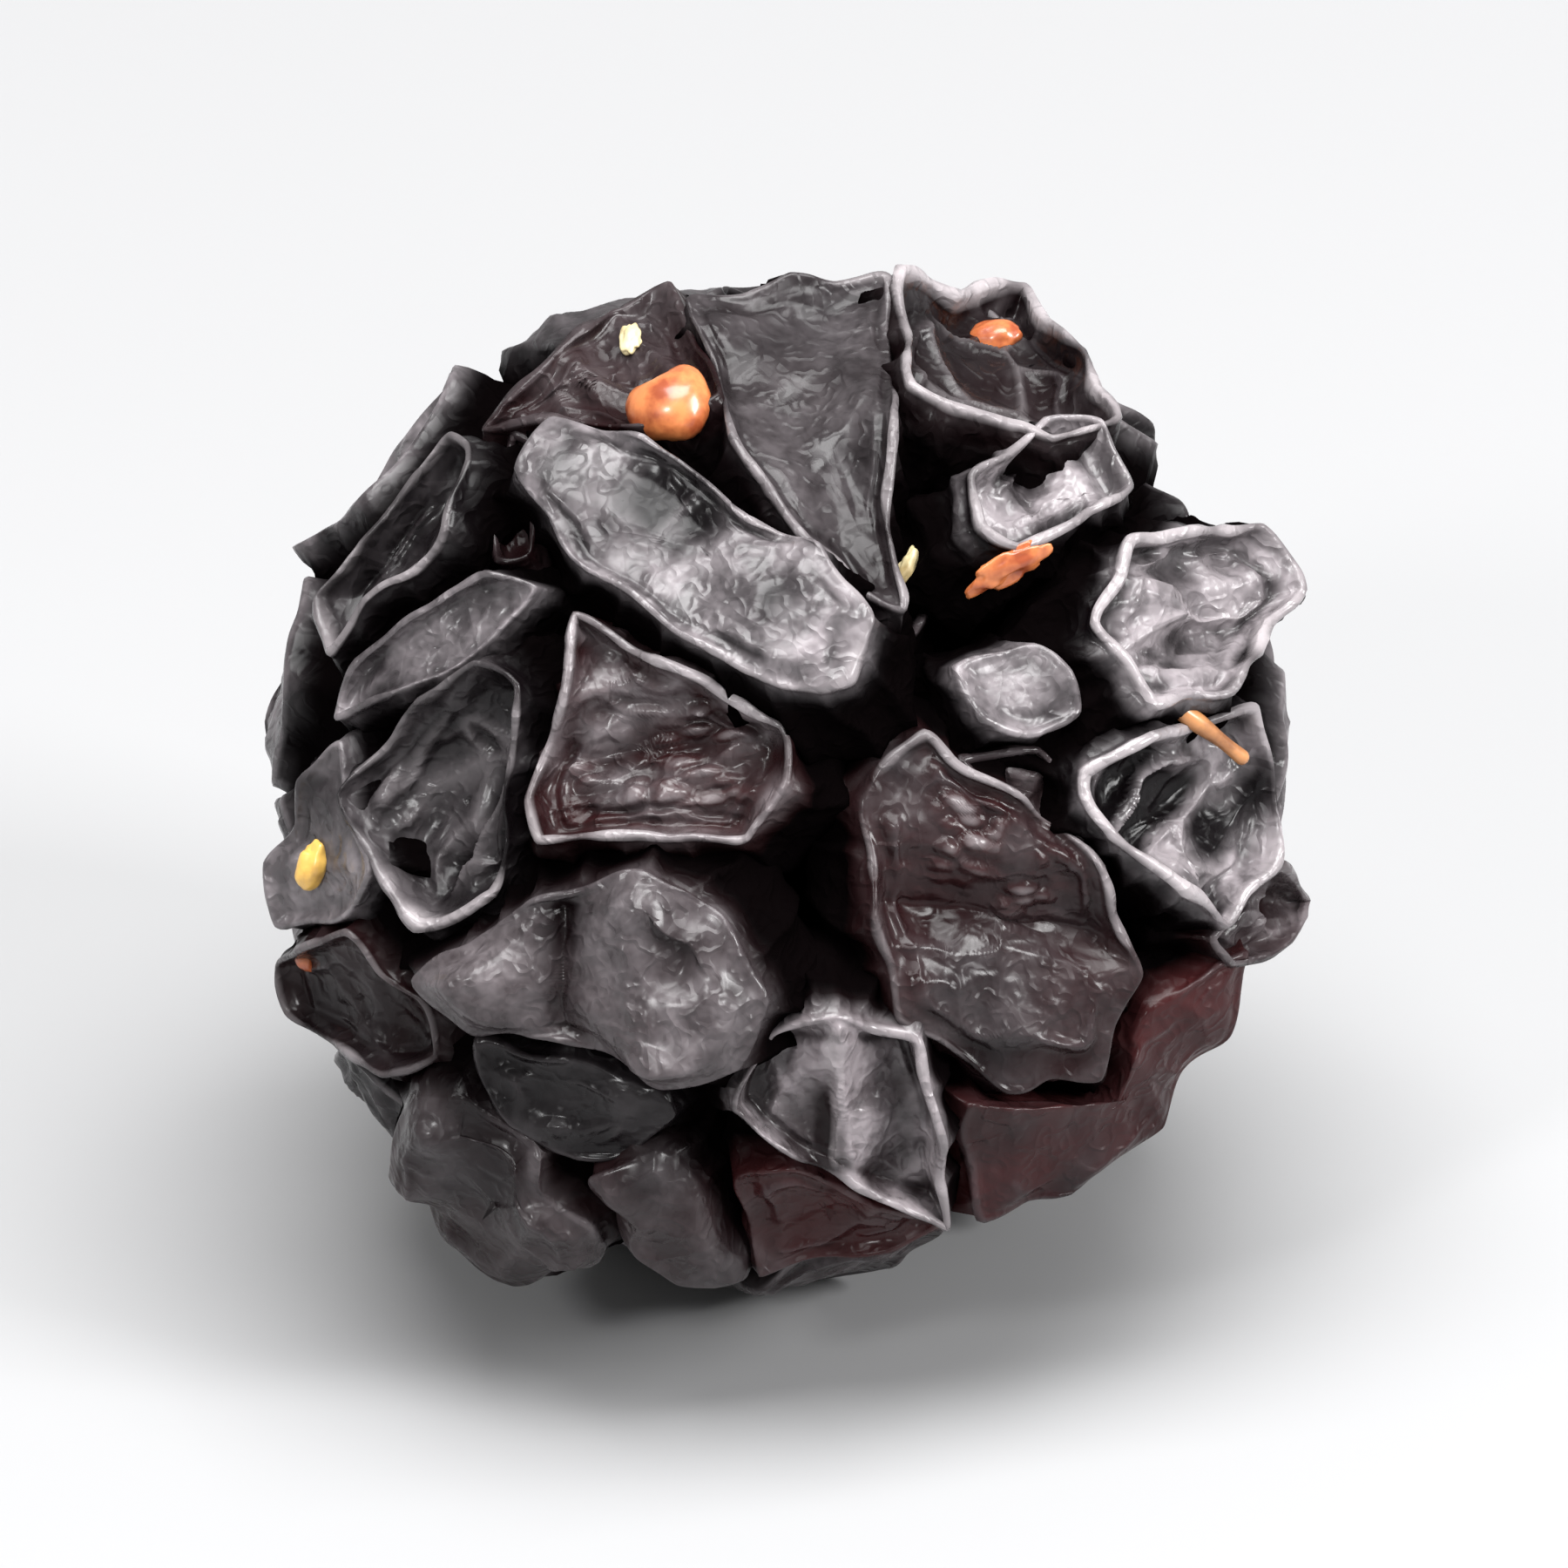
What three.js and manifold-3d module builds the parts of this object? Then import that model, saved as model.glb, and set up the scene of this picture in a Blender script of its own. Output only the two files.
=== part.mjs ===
// Dried bramble berry: shrivelled drupelets fused on one receptacle, with a hollow at the base end.
// Millimetres, +Z up, origin on the resting surface under the middle of the berry.
//
// The berry is modelled along its own axis first: x to the right and y up as seen from its base end,
// z along the axis toward the base end. It is then leaned back and set on its low side.

import * as THREE from 'three';
import Module from 'manifold-3d';

// Envelope that the drupelet rims lie on: an egg, blunt at the base end and longer toward the tip.
const GIRTH_RADIUS = 7.75;
const FACE_RADIUS = 8.35;
const BASE_LENGTH = 6.4;
const TIP_LENGTH = 9.0;

// The low right side of the girth has dried flatter: middle and half width of the dent in degrees round the
// axis, its depth, and the polar angles between which it fades out toward the tip.
const DENT_TURN = -58;
const DENT_HALF_WIDTH = 58;
const DENT_DEPTH = 1.1;
const DENT_FADE = [91, 118];

// Receptacle that carries the drupelets.
const CORE_RADIUS = 5.9;
const CORE_BASE_LENGTH = 4.6;
const CORE_TIP_LENGTH = 7.2;
const CORE_DETAIL = 3;

// Hollow left where the stalk and calyx came away, beside the middle of the base end.
const HOLLOW_CENTRE = [1.0, 0.2];
const HOLLOW_MOUTH_RADIUS = 1.6;
const HOLLOW_FLOOR_RADIUS = 0.7;
const HOLLOW_FLOOR_Z = 1.4;
const HOLLOW_SIDES = 14;

// Lean of the axis above the resting surface, and how much of the low side is pressed flat.
const AXIS_ELEVATION = THREE.MathUtils.degToRad(27);
const REST_FLAT = 0.6;
// Four points round the weight stand out of the pressed side by this much, and carry the berry.
const LOW_POINTS = [[2.2, 1.4], [-2.5, 1.5], [-1.2, -2.1], [1.0, -1.6]];
const LOW_POINT_DROP = 0.06;
const LOW_POINT_HEIGHT_WEIGHT = 1.5;

// A drupelet below its rim: [how far it swells past the rim, depth under the rim], down to its root.
const SIDE_RINGS = [[0.1, 0.5], [0.28, 1.6]];
const ROOT_DEPTH = 3.6;
// The root runs between straight in under the rim and toward a point low on the axis.
const ROOT_AIM_SHARE = 0.35;
const ROOT_TURN = 0.5;
// The sunken top inside the rim, from its middle out: [share of the rim's size, share of the full dish].
const BASE_END_TOP = [[0.46, 1.0], [0.84, 0.7]];
const ROW_TOP = [[0.66, 0.9]];
// A long side of the rim sags inward and down at its middle.
const LONG_SIDE = 1.4;
const RIM_BOW = 0.035;
const RIM_SAG = 0.12;

// Drupelets of the base end. rim: corners in mm, right and up from the axis, as seen from the base end.
// lift: how far the drupelet stands out of the envelope. dish: depth of the sunken top, negative if plump.
// folds: [angle across the ridges, their spacing, place of the first one, their height].
const BASE_END_DRUPELETS = [
  { // long plate above the hollow
    rim: [[-3.8, 4.5], [-3.2, 5.4], [-2.0, 5.0], [-0.6, 4.0], [0.7, 3.5], [1.4, 2.3], [1.1, 1.4], [0.1, 1.4],
      [-1.4, 2.1], [-2.9, 3.3]],
    lift: 0.7, dish: -0.15, folds: [-39, 5.4, -1.0, 0.4],
  },
  { // dark plate at the top
    rim: [[-1.3, 7.3], [0.1, 7.7], [1.7, 7.6], [1.7, 5.1], [1.7, 2.6], [0.4, 3.7], [-0.7, 5.2]],
    lift: 0.15, dish: 0.05, folds: [-35, 2.6, 0.3, 0.2],
  },
  { // hooked rim, top right
    rim: [[1.8, 7.6], [3.6, 7.6], [4.4, 6.6], [5.0, 5.4], [4.1, 5.2], [2.8, 5.6], [1.9, 5.9]],
    lift: 0.2, dish: 0.8, folds: [60, 1.8, 0.2, 0.25],
  },
  { // small and pinched, right of the top
    rim: [[2.7, 4.6], [3.9, 5.5], [4.7, 5.4], [5.2, 4.5], [4.4, 3.9], [3.4, 3.5], [2.8, 3.8]],
    lift: 0.2, dish: 0.5, folds: [30, 1.2, 0.3, 0.2],
  },
  { // hexagon, right
    rim: [[4.4, 2.4], [4.9, 3.6], [6.0, 3.9], [6.9, 3.8], [7.4, 2.8], [6.8, 1.9], [6.4, 1.3], [5.2, 1.2]],
    lift: 0.5, dish: 0.5, folds: [100, 1.3, 0.5, 0.25],
  },
  { // small and flat, under the hexagon
    rim: [[2.8, 2.0], [3.8, 2.3], [4.2, 1.9], [4.4, 1.3], [3.8, 1.0], [3.1, 1.2]],
    lift: -0.05, dish: -0.05, folds: [20, 2.4, 0.4, 0.12],
  },
  { // cup, right
    rim: [[4.5, 0.4], [5.3, 0.9], [7.0, 1.2], [7.4, 0.0], [7.3, -1.1], [6.5, -2.0], [5.6, -1.4], [4.8, -0.6]],
    lift: 0.2, dish: 0.6, folds: [140, 1.4, 0.2, 0.25],
  },
  { // small fold at the right edge
    rim: [[6.5, -2.2], [7.4, -1.1], [7.9, -1.6], [7.5, -2.2], [6.8, -2.6]],
    lift: 0.0, dish: 0.3, folds: [90, 1.0, 0.1, 0.15],
  },
  { // large, right of the hollow
    rim: [[1.4, -0.1], [2.2, 0.8], [3.5, 0.1], [4.8, -1.1], [5.4, -2.8], [4.8, -4.2], [3.5, -4.4], [1.8, -3.3],
      [1.5, -1.8]],
    lift: -0.1, dish: 0.15, folds: [80, 3.0, -1.3, -0.5],
  },
  { // smooth, lower right
    rim: [[2.9, -4.6], [4.9, -4.8], [5.6, -3.4], [7.0, -2.4], [6.7, -3.7], [5.8, -5.0], [4.3, -5.9],
      [3.0, -6.3]],
    lift: -0.1, dish: -0.2, folds: [30, 4.0, 1.0, 0.08],
  },
  { // ridged, bottom
    rim: [[-0.1, -3.5], [0.8, -3.2], [2.1, -3.6], [2.4, -5.0], [2.5, -6.2], [1.4, -5.9], [0.2, -5.2],
      [-0.7, -4.5]],
    lift: 0.2, dish: 0.3, folds: [0, 2.6, 0.8, 0.7],
  },
  { // plump, lower left
    rim: [[-5.3, -2.6], [-3.5, -1.6], [-1.9, -1.1], [-0.7, -1.6], [-0.1, -2.9], [-0.5, -3.9], [-1.5, -4.1],
      [-3.1, -3.6], [-4.5, -3.4]],
    lift: 0.6, dish: -0.25, folds: [0, 3.4, -3.2, -0.8],
  },
  { // fold under the plump one
    rim: [[-4.5, -3.7], [-3.2, -3.9], [-1.8, -4.3], [-1.5, -4.7], [-2.1, -5.3], [-2.9, -5.4], [-3.9, -4.7]],
    lift: 0.0, dish: -0.1, folds: [-60, 2.4, 0.2, 0.15],
  },
  { // round, bottom left
    rim: [[-5.5, -4.5], [-4.5, -4.3], [-3.5, -5.1], [-3.3, -5.8], [-2.6, -6.3], [-2.7, -6.9], [-3.8, -7.2],
      [-4.9, -6.6], [-5.6, -5.4]],
    lift: 0.2, dish: -0.45, folds: [45, 2.4, 1.2, -0.2],
  },
  { // narrow, bottom
    rim: [[-2.6, -5.6], [-1.7, -5.2], [-1.0, -5.9], [-0.6, -7.3], [-1.5, -7.2], [-2.2, -6.7]],
    lift: 0.1, dish: -0.3, folds: [20, 3.0, 0.6, -0.15],
  },
  { // reddish, bottom
    rim: [[-0.5, -5.8], [0.2, -5.5], [1.4, -6.1], [2.4, -6.4], [1.7, -6.9], [0.4, -7.2], [-0.4, -7.3]],
    lift: -0.1, dish: 0.1, folds: [100, 1.3, 0.3, 0.15],
  },
  { // trapezoid, left of the hollow
    rim: [[-2.9, 2.6], [-1.4, 1.7], [0.1, 1.0], [0.3, 0.2], [-0.4, -0.6], [-2.1, -0.7], [-3.5, -0.8],
      [-3.7, -0.1], [-3.2, 1.4]],
    lift: 0.25, dish: 0.55, folds: [100, 1.7, 0.3, 0.2],
  },
  { // long rims, left
    rim: [[-6.4, 0.0], [-5.3, 1.4], [-4.4, 1.9], [-3.7, 1.5], [-4.0, 0.3], [-4.1, -0.9], [-4.3, -1.6],
      [-5.3, -2.1], [-6.0, -1.0]],
    lift: 0.1, dish: 0.7, folds: [-30, 1.7, 0.2, 0.3],
  },
  { // thin loop, upper left
    rim: [[-6.8, 2.8], [-5.8, 4.2], [-4.8, 5.3], [-4.4, 4.8], [-4.7, 3.8], [-6.0, 2.8], [-6.6, 2.0]],
    lift: 0.2, dish: 0.5, folds: [-45, 1.2, 0.1, 0.15],
  },
  { // grey, under the loop
    rim: [[-6.6, 1.1], [-6.3, 1.9], [-5.3, 2.7], [-4.3, 3.3], [-3.6, 3.0], [-4.4, 2.3], [-5.7, 1.4]],
    lift: 0.0, dish: 0.1, folds: [-50, 2.4, 0.5, 0.1],
  },
  { // left edge
    rim: [[-7.1, 0.3], [-6.5, 0.7], [-6.3, -0.3], [-6.0, -1.2], [-6.5, -1.9], [-7.5, -2.0], [-7.6, -1.0]],
    lift: 0.0, dish: 0.1, folds: [80, 2.4, 0.2, 0.1],
  },
  { // dark loop, left
    rim: [[-7.6, -2.8], [-7.2, -2.3], [-6.4, -2.1], [-5.5, -3.1], [-5.2, -4.0], [-5.9, -4.2], [-6.7, -3.8],
      [-7.4, -3.4]],
    lift: 0.0, dish: 0.4, folds: [40, 1.5, 0.1, 0.15],
  },
  { // dark fold between the thin loop and the long plate
    rim: [[-4.3, 3.6], [-4.4, 4.6], [-4.1, 5.5], [-3.5, 5.2], [-3.8, 4.5], [-3.8, 3.7]],
    lift: -0.3, dish: 0.3, folds: [0, 1.0, 0.1, 0.12],
  },
  { // recess beside the dark top plate
    rim: [[1.9, 5.5], [2.6, 5.3], [2.7, 4.2], [2.4, 3.1], [2.0, 2.7], [1.8, 3.8]],
    lift: -0.9, dish: 0.3, folds: [80, 1.2, 0.2, 0.15],
  },
  { // thin and dark, between the flat one and the large one
    rim: [[2.9, 0.6], [4.0, 0.7], [4.6, 0.0], [4.9, -0.8], [4.0, -0.4]],
    lift: -0.5, dish: 0.2, folds: [130, 1.2, 0.2, 0.12],
  },
  { // brown, top left
    rim: [[-4.5, 5.5], [-3.5, 6.3], [-2.5, 7.2], [-1.5, 7.6], [-0.9, 5.9], [-2.1, 5.4], [-3.3, 5.6]],
    lift: 0.0, dish: 0.2, folds: [45, 1.0, 0.2, 0.2],
  },
];

// Pip that shows between two drupelets near the top: place right and up from the axis, size, turn in degrees.
const PIP_PLACE = [-1.5, 5.6];
const PIP_SIZE = [1.45, 1.1, 0.95];
const PIP_TURN = 15;
const PIP_RISE = 0.2;
const PIP_DETAIL = 1;

// Rows of drupelets from the girth to the tip. polar: angle from the base end, in degrees.
const TIP_ROWS = [
  { polar: 91, count: 13, halfHeight: 16 },
  { polar: 118, count: 12, halfHeight: 13 },
  { polar: 142, count: 9, halfHeight: 12 },
  { polar: 165, count: 5, halfHeight: 13 },
];
const ROW_CORNERS = 5;
const ROW_WIDTH_SHARE = 1.1;
const STEP_JITTER = 0.1;
const CORNER_JITTER = 0.15;
const CORNER_LIFT = 0.18;
const LIFT_RANGE = [-0.25, 0.35];
const DISH_RANGE = [-0.2, 0.6];
const FOLD_SPACING = [1.3, 2.4];
const FOLD_HEIGHT = [0.12, 0.35];
const SEED = 2417;
// Points of the joined berry are set on a grid this fine, so that slivers close up.
const GRID = 0.004;

// Seeded random numbers, the same in every run.
const LEHMER_MULTIPLIER = 16807;
const LEHMER_MODULUS = 2147483647;
let randomState = SEED;
function random(low, high) {
  randomState = (randomState * LEHMER_MULTIPLIER) % LEHMER_MODULUS;
  return low + (high - low) * (randomState / LEHMER_MODULUS);
}

// Height of the envelope over the base end, at a point given right and up from the axis.
function faceHeight(x, y) {
  const share = Math.min(1, Math.hypot(x, y) / FACE_RADIUS);
  return BASE_LENGTH * Math.sqrt(1 - share * share);
}

// Point of the envelope at a polar angle from the base end and a turn round the axis, in degrees.
function envelopePoint(polar, turn) {
  const p = THREE.MathUtils.degToRad(polar);
  const t = THREE.MathUtils.degToRad(turn);
  const length = p < Math.PI / 2 ? BASE_LENGTH : TIP_LENGTH;
  const aside = THREE.MathUtils.euclideanModulo(turn - DENT_TURN + 180, 360) - 180;
  const inDent = Math.max(0, 1 - Math.abs(aside) / DENT_HALF_WIDTH);
  const fade = 1 - THREE.MathUtils.smoothstep(polar, ...DENT_FADE);
  const dent = DENT_DEPTH * fade * Math.sin((Math.PI / 2) * inDent) ** 2;
  const radius = (GIRTH_RADIUS - dent) * Math.sin(p);
  return new THREE.Vector3(radius * Math.cos(t), radius * Math.sin(t), length * Math.cos(p));
}

// Middle and outward direction of a closed line of points.
function planeOf(points) {
  const middle = new THREE.Vector3();
  points.forEach((point) => middle.add(point));
  middle.divideScalar(points.length);
  const normal = new THREE.Vector3();
  points.forEach((point, i) => {
    const next = points[(i + 1) % points.length];
    const a = point.clone().sub(middle);
    const b = next.clone().sub(middle);
    normal.add(a.cross(b));
  });
  normal.normalize();
  return { middle, normal };
}

// Rim with a sagging point added on each long side, running anticlockwise seen from outside.
function fullRim(corners) {
  let line = corners;
  let plane = planeOf(line);
  if (plane.normal.dot(plane.middle) < 0) {
    line = corners.slice().reverse();
    plane = planeOf(line);
  }
  const rim = [];
  line.forEach((corner, i) => {
    rim.push(corner);
    const next = line[(i + 1) % line.length];
    if (corner.distanceTo(next) > LONG_SIDE) {
      const between = corner.clone().lerp(next, 0.5);
      between.lerp(plane.middle, RIM_BOW);
      between.addScaledVector(plane.normal, -RIM_SAG);
      rim.push(between);
    }
  });
  return { rim, middle: plane.middle, normal: plane.normal };
}

// Height of the folds across a sunken top: sharp ridges with round valleys between them.
function foldHeight(point, { along, spacing, start, height }) {
  const phase = (Math.PI * point.dot(along)) / spacing - start;
  return height * (0.5 - Math.abs(Math.sin(phase)));
}

// One closed ring-by-ring body: dished top inside the rim, full sides, narrowing root toward the core.
function drupelet(corners, { lift, dish, fold, top }) {
  const { rim, middle, normal } = fullRim(corners);
  const reach = rim.reduce((sum, point) => sum + point.distanceTo(middle), 0) / rim.length;
  rim.forEach((point) => point.addScaledVector(normal, random(-CORNER_LIFT, CORNER_LIFT)));
  const rootAim = new THREE.Vector3(0, 0, middle.z * ROOT_AIM_SHARE).sub(middle).normalize();
  const inward = rootAim.lerp(normal.clone().negate(), ROOT_TURN).normalize();
  const points = [];
  const rings = [];
  const addRing = (share, shift) => {
    rings.push(points.length);
    rim.forEach((point) => {
      points.push(middle.clone().lerp(point, share).add(shift));
    });
  };
  const outer = normal.clone().multiplyScalar(lift);
  const topMiddle = points.length;
  points.push(middle.clone().add(outer).addScaledVector(normal, -dish));
  top.forEach(([share, dishShare]) => {
    addRing(share, outer.clone().addScaledVector(normal, -dish * dishShare));
  });
  points.forEach((point) => point.addScaledVector(normal, foldHeight(point, fold)));
  addRing(1, outer);
  SIDE_RINGS.forEach(([swell, depth]) => {
    addRing(1 + swell / reach, outer.clone().addScaledVector(inward, depth));
  });
  const root = points.length;
  points.push(middle.clone().add(outer).addScaledVector(inward, ROOT_DEPTH));

  const faces = [];
  const count = rim.length;
  const last = rings[rings.length - 1];
  for (let i = 0; i < count; i += 1) {
    const next = (i + 1) % count;
    faces.push(topMiddle, rings[0] + i, rings[0] + next);
    for (let k = 0; k + 1 < rings.length; k += 1) {
      faces.push(rings[k] + i, rings[k + 1] + i, rings[k + 1] + next);
      faces.push(rings[k] + i, rings[k + 1] + next, rings[k] + next);
    }
    faces.push(root, last + next, last + i);
  }
  return { points, faces };
}

// Receptacle: an egg of its own, inside the drupelets.
function receptacle() {
  const sphere = new THREE.IcosahedronGeometry(1, CORE_DETAIL);
  const body = welded(sphere);
  body.points.forEach((point) => {
    const length = point.z > 0 ? CORE_BASE_LENGTH : CORE_TIP_LENGTH;
    point.multiply(new THREE.Vector3(CORE_RADIUS, CORE_RADIUS, length));
  });
  return body;
}

// Tapered plug in the shape of the hollow, reaching out past the base end.
function hollowPlug() {
  const height = BASE_LENGTH - HOLLOW_FLOOR_Z;
  const cone = new THREE.CylinderGeometry(HOLLOW_MOUTH_RADIUS, HOLLOW_FLOOR_RADIUS, height, HOLLOW_SIDES);
  cone.rotateX(Math.PI / 2);
  cone.translate(HOLLOW_CENTRE[0], HOLLOW_CENTRE[1], HOLLOW_FLOOR_Z + height / 2);
  return welded(cone);
}

// Points and faces of a geometry, with points in the same place made one.
const SAME_PLACE = 1e-5;
function welded(geometry) {
  const position = geometry.getAttribute('position');
  const places = new Map();
  const points = [];
  const numberOf = (i) => {
    const point = new THREE.Vector3().fromBufferAttribute(position, i);
    const key = point.toArray().map((value) => Math.round(value / SAME_PLACE)).join(',');
    if (!places.has(key)) {
      places.set(key, points.length);
      points.push(point);
    }
    return places.get(key);
  };
  const order = geometry.index ? geometry.index.array : Array.from({ length: position.count }, (_, i) => i);
  const faces = [];
  for (let i = 0; i < order.length; i += 3) {
    const face = [numberOf(order[i]), numberOf(order[i + 1]), numberOf(order[i + 2])];
    if (new Set(face).size === 3) {
      faces.push(...face);
    }
  }
  return { points, faces };
}

// Largest connected shell of a mesh: small shells closed off inside the berry are left out.
function outerShell(pointCount, faces) {
  const leader = Array.from({ length: pointCount }, (_, i) => i);
  const find = (i) => {
    let top = i;
    while (leader[top] !== top) {
      leader[top] = leader[leader[top]];
      top = leader[top];
    }
    return top;
  };
  for (let i = 0; i < faces.length; i += 3) {
    leader[find(faces[i + 1])] = find(faces[i]);
    leader[find(faces[i + 2])] = find(faces[i]);
  }
  const size = new Map();
  for (let i = 0; i < faces.length; i += 3) {
    const top = find(faces[i]);
    size.set(top, (size.get(top) || 0) + 1);
  }
  const largest = [...size.entries()].sort((a, b) => b[1] - a[1])[0][0];
  const kept = [];
  for (let i = 0; i < faces.length; i += 3) {
    if (find(faces[i]) === largest) {
      kept.push(faces[i], faces[i + 1], faces[i + 2]);
    }
  }
  return kept;
}

const wasm = await Module();
wasm.setup();

function solid({ points, faces }) {
  const vertProperties = new Float32Array(points.flatMap((point) => point.toArray()));
  const triVerts = new Uint32Array(faces);
  return new wasm.Manifold(new wasm.Mesh({ numProp: 3, vertProperties, triVerts }));
}

// Drupelets of the rows toward the tip, each row set half a step round from the one before.
function tipDrupelets() {
  const bodies = [];
  TIP_ROWS.forEach((row, rowNumber) => {
    const step = 360 / row.count;
    for (let i = 0; i < row.count; i += 1) {
      const turn = step * (i + 0.5 * (rowNumber % 2) + random(-STEP_JITTER, STEP_JITTER));
      const corners = [];
      for (let k = 0; k < ROW_CORNERS; k += 1) {
        const angle = (2 * Math.PI * (k + random(-CORNER_JITTER, CORNER_JITTER))) / ROW_CORNERS;
        const reach = 1 + random(-CORNER_JITTER, CORNER_JITTER);
        const polar = row.polar + row.halfHeight * reach * Math.sin(angle);
        const halfWidth = 0.5 * step * ROW_WIDTH_SHARE;
        corners.push(envelopePoint(polar, turn + halfWidth * reach * Math.cos(angle)));
      }
      const lift = random(...LIFT_RANGE);
      const dish = random(...DISH_RANGE);
      const along = new THREE.Vector3(random(-1, 1), random(-1, 1), random(-1, 1)).normalize();
      const fold = { along, spacing: random(...FOLD_SPACING), start: 0, height: random(...FOLD_HEIGHT) };
      bodies.push(drupelet(corners, { lift, dish, fold, top: ROW_TOP }));
    }
  });
  return bodies;
}

function baseEndDrupelets() {
  return BASE_END_DRUPELETS.map(({ rim, lift, dish, folds }) => {
    const corners = rim.map(([x, y]) => new THREE.Vector3(x, y, faceHeight(x, y)));
    const [angle, spacing, firstRidge, height] = folds;
    const turn = THREE.MathUtils.degToRad(angle);
    const along = new THREE.Vector3(Math.cos(turn), Math.sin(turn), 0);
    const start = (Math.PI * firstRidge) / spacing;
    return drupelet(corners, { lift, dish, fold: { along, spacing, start, height }, top: BASE_END_TOP });
  });
}

// Egg-shaped pip lying on the envelope of the base end.
function pip() {
  const ball = new THREE.IcosahedronGeometry(0.5, PIP_DETAIL);
  ball.scale(...PIP_SIZE);
  ball.rotateZ(THREE.MathUtils.degToRad(PIP_TURN));
  const [x, y] = PIP_PLACE;
  const z = faceHeight(x, y);
  const facing = new THREE.Vector3(x, y, z * (FACE_RADIUS / BASE_LENGTH) ** 2).normalize();
  ball.applyQuaternion(new THREE.Quaternion().setFromUnitVectors(new THREE.Vector3(0, 0, 1), facing));
  const middle = new THREE.Vector3(x, y, z).addScaledVector(facing, PIP_RISE);
  ball.translate(...middle.toArray());
  return welded(ball);
}

function berryGeometry() {
  let body = solid(receptacle()).subtract(solid(hollowPlug()));
  [...baseEndDrupelets(), ...tipDrupelets(), pip()].forEach((one) => {
    body = body.add(solid(one));
  });
  return body;
}

// A big block under the berry, to press its low side flat.
const BLOCK_SIDE = 40;
function restBlock(lowest) {
  const block = new THREE.BoxGeometry(BLOCK_SIDE, BLOCK_SIDE, BLOCK_SIDE);
  block.translate(0, 0, lowest + REST_FLAT - BLOCK_SIDE / 2);
  return welded(block);
}

function leaned(body) {
  const mesh = body.getMesh();
  const lean = new THREE.Matrix4().makeRotationX(Math.PI / 2 - AXIS_ELEVATION);
  const points = [];
  for (let i = 0; i < mesh.vertProperties.length; i += mesh.numProp) {
    const point = new THREE.Vector3().fromArray(mesh.vertProperties, i);
    points.push(point.applyMatrix4(lean));
  }
  return { points, faces: Array.from(mesh.triVerts) };
}

// The same body with its points on the grid and no shell closed off inside.
function tidied(body) {
  const mesh = body.getMesh();
  const values = Array.from(mesh.vertProperties, (value) => Math.round(value / GRID) * GRID);
  const loose = new THREE.BufferGeometry();
  loose.setAttribute('position', new THREE.BufferAttribute(new Float32Array(values), 3));
  loose.setIndex(Array.from(mesh.triVerts));
  const clean = solid(welded(loose)).getMesh();
  const geometry = new THREE.BufferGeometry();
  geometry.setAttribute('position', new THREE.BufferAttribute(new Float32Array(clean.vertProperties), 3));
  geometry.setIndex(outerShell(clean.vertProperties.length / 3, Array.from(clean.triVerts)));
  return geometry;
}

// The point nearest to each place of a low point is drawn down to the resting surface.
function setLowPoints(position) {
  LOW_POINTS.forEach(([x, y]) => {
    let nearest = 0;
    let least = Infinity;
    for (let i = 0; i < position.count; i += 1) {
      const beside = Math.hypot(position.getX(i) - x, position.getY(i) - y);
      const distance = beside + LOW_POINT_HEIGHT_WEIGHT * position.getZ(i);
      if (distance < least) {
        least = distance;
        nearest = i;
      }
    }
    position.setZ(nearest, 0);
  });
}

function finished() {
  const upright = leaned(berryGeometry());
  const lowest = Math.min(...upright.points.map((point) => point.z));
  const geometry = tidied(solid(upright).subtract(solid(restBlock(lowest))));
  geometry.computeBoundingBox();
  const box = geometry.boundingBox;
  const pressed = LOW_POINT_DROP - box.min.z;
  geometry.translate(-(box.min.x + box.max.x) / 2, -(box.min.y + box.max.y) / 2, pressed);
  setLowPoints(geometry.getAttribute('position'));
  const plain = geometry.toNonIndexed();
  plain.computeVertexNormals();
  return plain;
}

const skin = new THREE.MeshStandardMaterial({ color: 0x2a2226, roughness: 0.42, metalness: 0 });
const berry = new THREE.Mesh(finished(), skin);
berry.name = 'berry';

const group = new THREE.Group();
group.name = 'bramble_berry';
group.add(berry);

export default group;
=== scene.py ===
# %% [markdown]
# # A dried bramble berry
# One dried bramble berry lies on a pale surface, its base end toward us. Every drupelet has shrunk round its
# pip into a little black purse with a raised, shiny rim. This script builds those purses one by one, adds
# the pips and dried bits that show between them, and lights the berry softly from above.
# Lengths are in millimetres until a piece is made, because that is how one thinks about a berry.

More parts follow.
